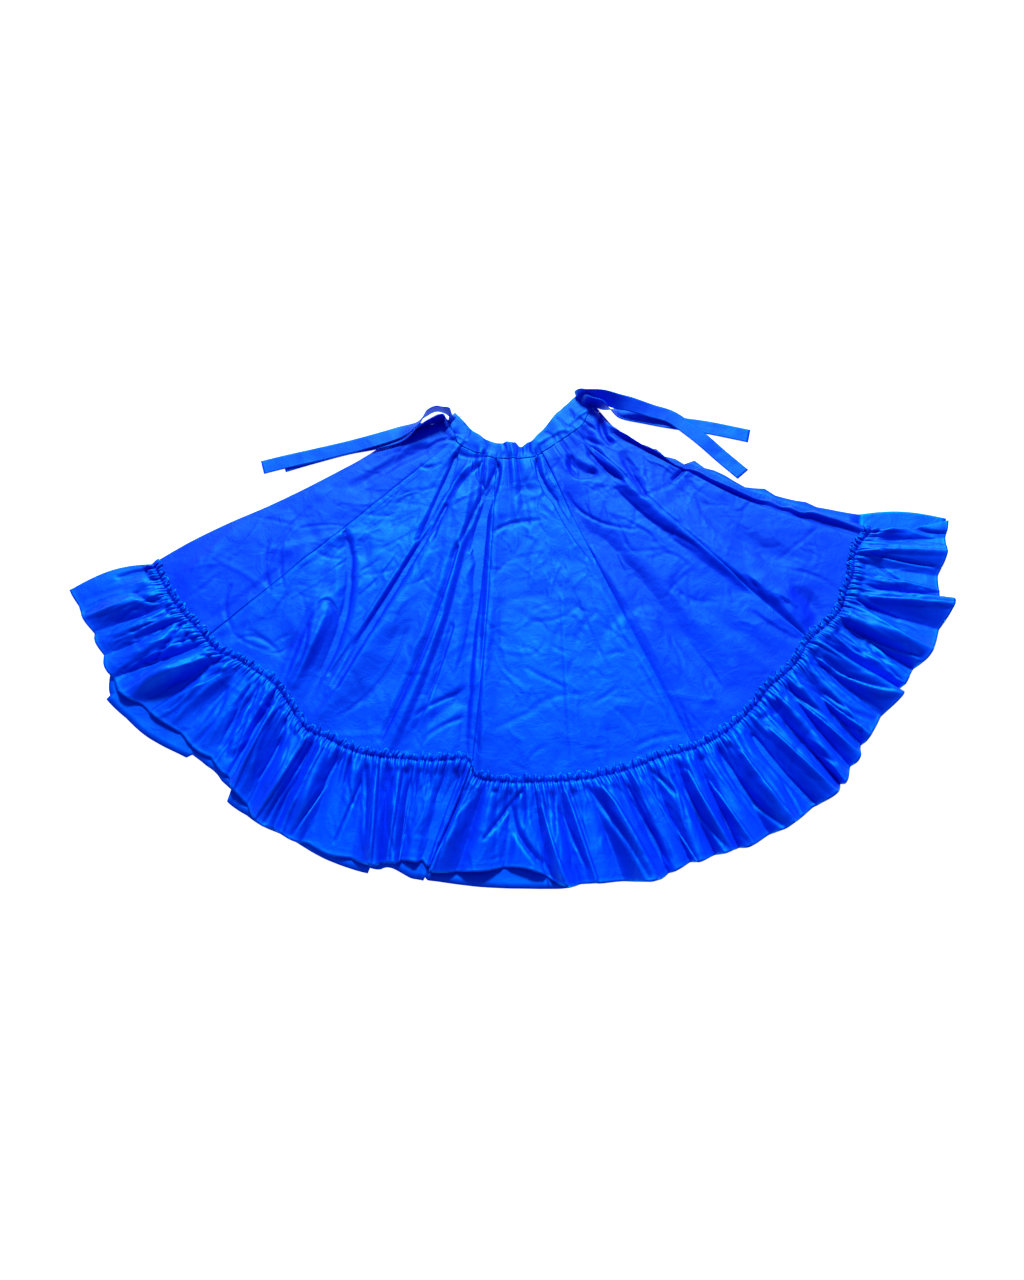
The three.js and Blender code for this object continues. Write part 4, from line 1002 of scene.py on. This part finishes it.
def pointsAlong(points, lengths, places):
    return np.column_stack([np.interp(places, lengths, points[:, i]) for i in range(3)])


def addStitches(name, points, radius):
    points = inMetres(points)
    lengths = lengthsAlong(points)
    count = int(lengths[-1] * 1000 / stitch["pitch"])
    places = (np.arange(count) + 0.5) / count * lengths[-1]
    half = stitch["halfLength"] / 1000
    at = pointsAlong(points, lengths, places)
    ahead = pointsAlong(points, lengths, places + half) - at
    size = Matrix.Diagonal((half, radius / 1000, radius / 1000, 1))
    bm = bmesh.new()
    for centre, run in zip(at, ahead):
        turn = Vector((1, 0, 0)).rotation_difference(Vector(run)).to_matrix().to_4x4()
        bead = Matrix.Translation(Vector(centre)) @ turn @ size
        bmesh.ops.create_icosphere(bm, subdivisions=1, radius=1, matrix=bead)
    mesh = meshFrom(bm, name)
    mesh.materials.append(sewingThread)
    stitches = addObject(name, mesh)
    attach(stitches, "root")


allFolds = np.linspace(0.02, lastFold - 0.02, 3000)
for name, distance in (("ruffle", 0), ("hem", ruffleSettings["depth"] - ruffleSettings["hem"])):
    points = frontRufflePoint(allFolds, np.full_like(allFolds, distance))
    addStitches(name + "-stitching", points, stitch["hemRadius"])
bandShares = np.linspace(0.01, 0.99, 600)
for name, (place, _) in bandGrooves.items():
    points = frontBandShape(bandShares, np.full_like(bandShares, place))
    addStitches("waistband-stitching-" + name, points, stitch["bandRadius"])
print("stitching ready")

# Ties
tieSettings = {"width": 33, "thickness": 1.4, "stitchRows": {"near": 0.06, "far": 0.94}}
# Each tie's length of cut in metres, and its middle line with its turn in degrees from lying flat.
# The first row is sewn into the end of the waistband.
ties = {
    "tie_left_back": (0.435, table("x y z turn", [
        (-122, 519, 7.6, 10), (-130.9, 528.1, 18.7, 85), (-148, 537, 18, 77), (-165, 540, 17.7, 75),
        (-185, 527, 17.7, 75), (-205, 503, 15.5, 45), (-240, 483, 12.5, 12), (-290, 464, 11.5, 4),
        (-350, 447, 7.6, 2), (-420, 429, 4.8, 0), (-480, 413, 4.2, 0), (-526, 399, 4.2, 0),
    ])),
    "tie_left_front": (0.36, table("x y z turn", [
        (-131, 508, 8.4, 14), (-146, 516, 17.5, 84), (-176, 506, 18, 76), (-204, 491, 15.5, 60),
        (-238, 473, 9.2, 18), (-290, 458, 7.8, 4), (-350, 448, 3.6, 0), (-420, 427, 1.3, 0),
        (-482, 405, 1.3, 0),
    ])),
    "tie_right_back": (0.4, table("x y z turn", [
        (141, 574, 7.6, 10), (157, 579, 18.7, 88), (195, 570, 21, 62), (228, 554, 25, 32),
        (255, 550, 21, 14), (300, 539, 12, 4), (342, 527, 6.6, 0), (380, 495, 5.3, 0), (412, 463, 4.4, 0),
        (444, 429, 1.6, 0), (486, 384, 1.3, 0),
    ])),
    "tie_right_front": (0.36, table("x y z turn", [
        (150, 563, 8.4, 14), (167, 560, 18.9, 90), (195, 549, 18.9, 92), (215, 541, 14, 132),
        (238, 536, 6.4, 170), (290, 527, 2.6, 178), (350, 515, 1.3, 180), (420, 503, 1.3, 180),
        (508, 481, 1.3, 180),
    ])),
}
for name, (length, rows) in ties.items():
    def tieShape(across, down, rows=rows):
        last = len(rows["x"]) - 1
        place = 0.01 + (last - 0.01) * across
        centre = np.column_stack([along(rows, c, place) for c in "xyz"])
        ahead = np.column_stack([along(rows, c, np.minimum(place + 0.02, last)) for c in "xy"])
        behind = np.column_stack([along(rows, c, np.maximum(place - 0.02, 0)) for c in "xy"])
        run = (ahead - behind) / np.hypot(*(ahead - behind).T)[:, None]
        turn = np.radians(along(rows, "turn", place))
        sideways = np.column_stack([-run[:, 1] * np.cos(turn), run[:, 0] * np.cos(turn), np.sin(turn)])
        return centre + sideways * (tieSettings["width"] * (0.5 - down))[:, None]

    makeSheet(name, 120, 12, tieShape, tieTaffeta,
              thickness=tieSettings["thickness"])
    tieShares = np.linspace(0.05, 0.99, 400)
    for edge, place in tieSettings["stitchRows"].items():
        points = tieShape(tieShares, np.full_like(tieShares, place))
        addStitches(name.replace("_", "-") + "-stitching-" + edge, points, stitch["tieRadius"])
print("ties ready")

# Floor, light and air
room = {
    "floor": "DCDCDC",
    "floorSize": 12,           # metres
    "floorLevel": -0.0008,     # metres, just under the back cloth
    "floorGlow": 1,            # keeps the ground white, without shadows
    "keyStrength": 5.8,
    "keyFrom": (0.02, 0.78, 0.58),
    "keyColour": "A4E4FF",     # cool, as the blue cloth sends back no red
    "keyAngle": 14,            # degrees across, for soft shadow edges
    "air": 0.55,
    "airColour": "6E84FF",     # blue fill, which keeps the shaded cloth deep blue
}
bm = bmesh.new()
bmesh.ops.create_grid(bm, x_segments=1, y_segments=1, size=room["floorSize"])
floor = addObject("floor", meshFrom(bm, "floor"))
floor.location = (0, 0, room["floorLevel"])
floorPaint = bpy.data.materials.new("matt white floor")
floorPaint.use_nodes = True
paint = floorPaint.node_tree.nodes["Principled BSDF"].inputs
paint["Base Color"].default_value = linear(room["floor"])
paint["Roughness"].default_value = 0.9
paint["Emission Color"].default_value = (1, 1, 1, 1)
paint["Emission Strength"].default_value = room["floorGlow"]
floor.data.materials.append(floorPaint)
key = bpy.data.lights.new("key light", "SUN")
key.energy = room["keyStrength"]
key.color = linear(room["keyColour"])[:3]
key.angle = math.radians(room["keyAngle"])
lamp = addObject("key light", key)
lamp.rotation_mode = "QUATERNION"
lamp.rotation_quaternion = Vector(room["keyFrom"]).to_track_quat("Z", "Y")
world = bpy.data.worlds.new("studio air")
world.use_nodes = True
air = world.node_tree.nodes["Background"].inputs
air["Color"].default_value = linear(room["airColour"])
air["Strength"].default_value = room["air"]
bpy.context.scene.world = world
bpy.context.scene.view_settings.view_transform = "Standard"
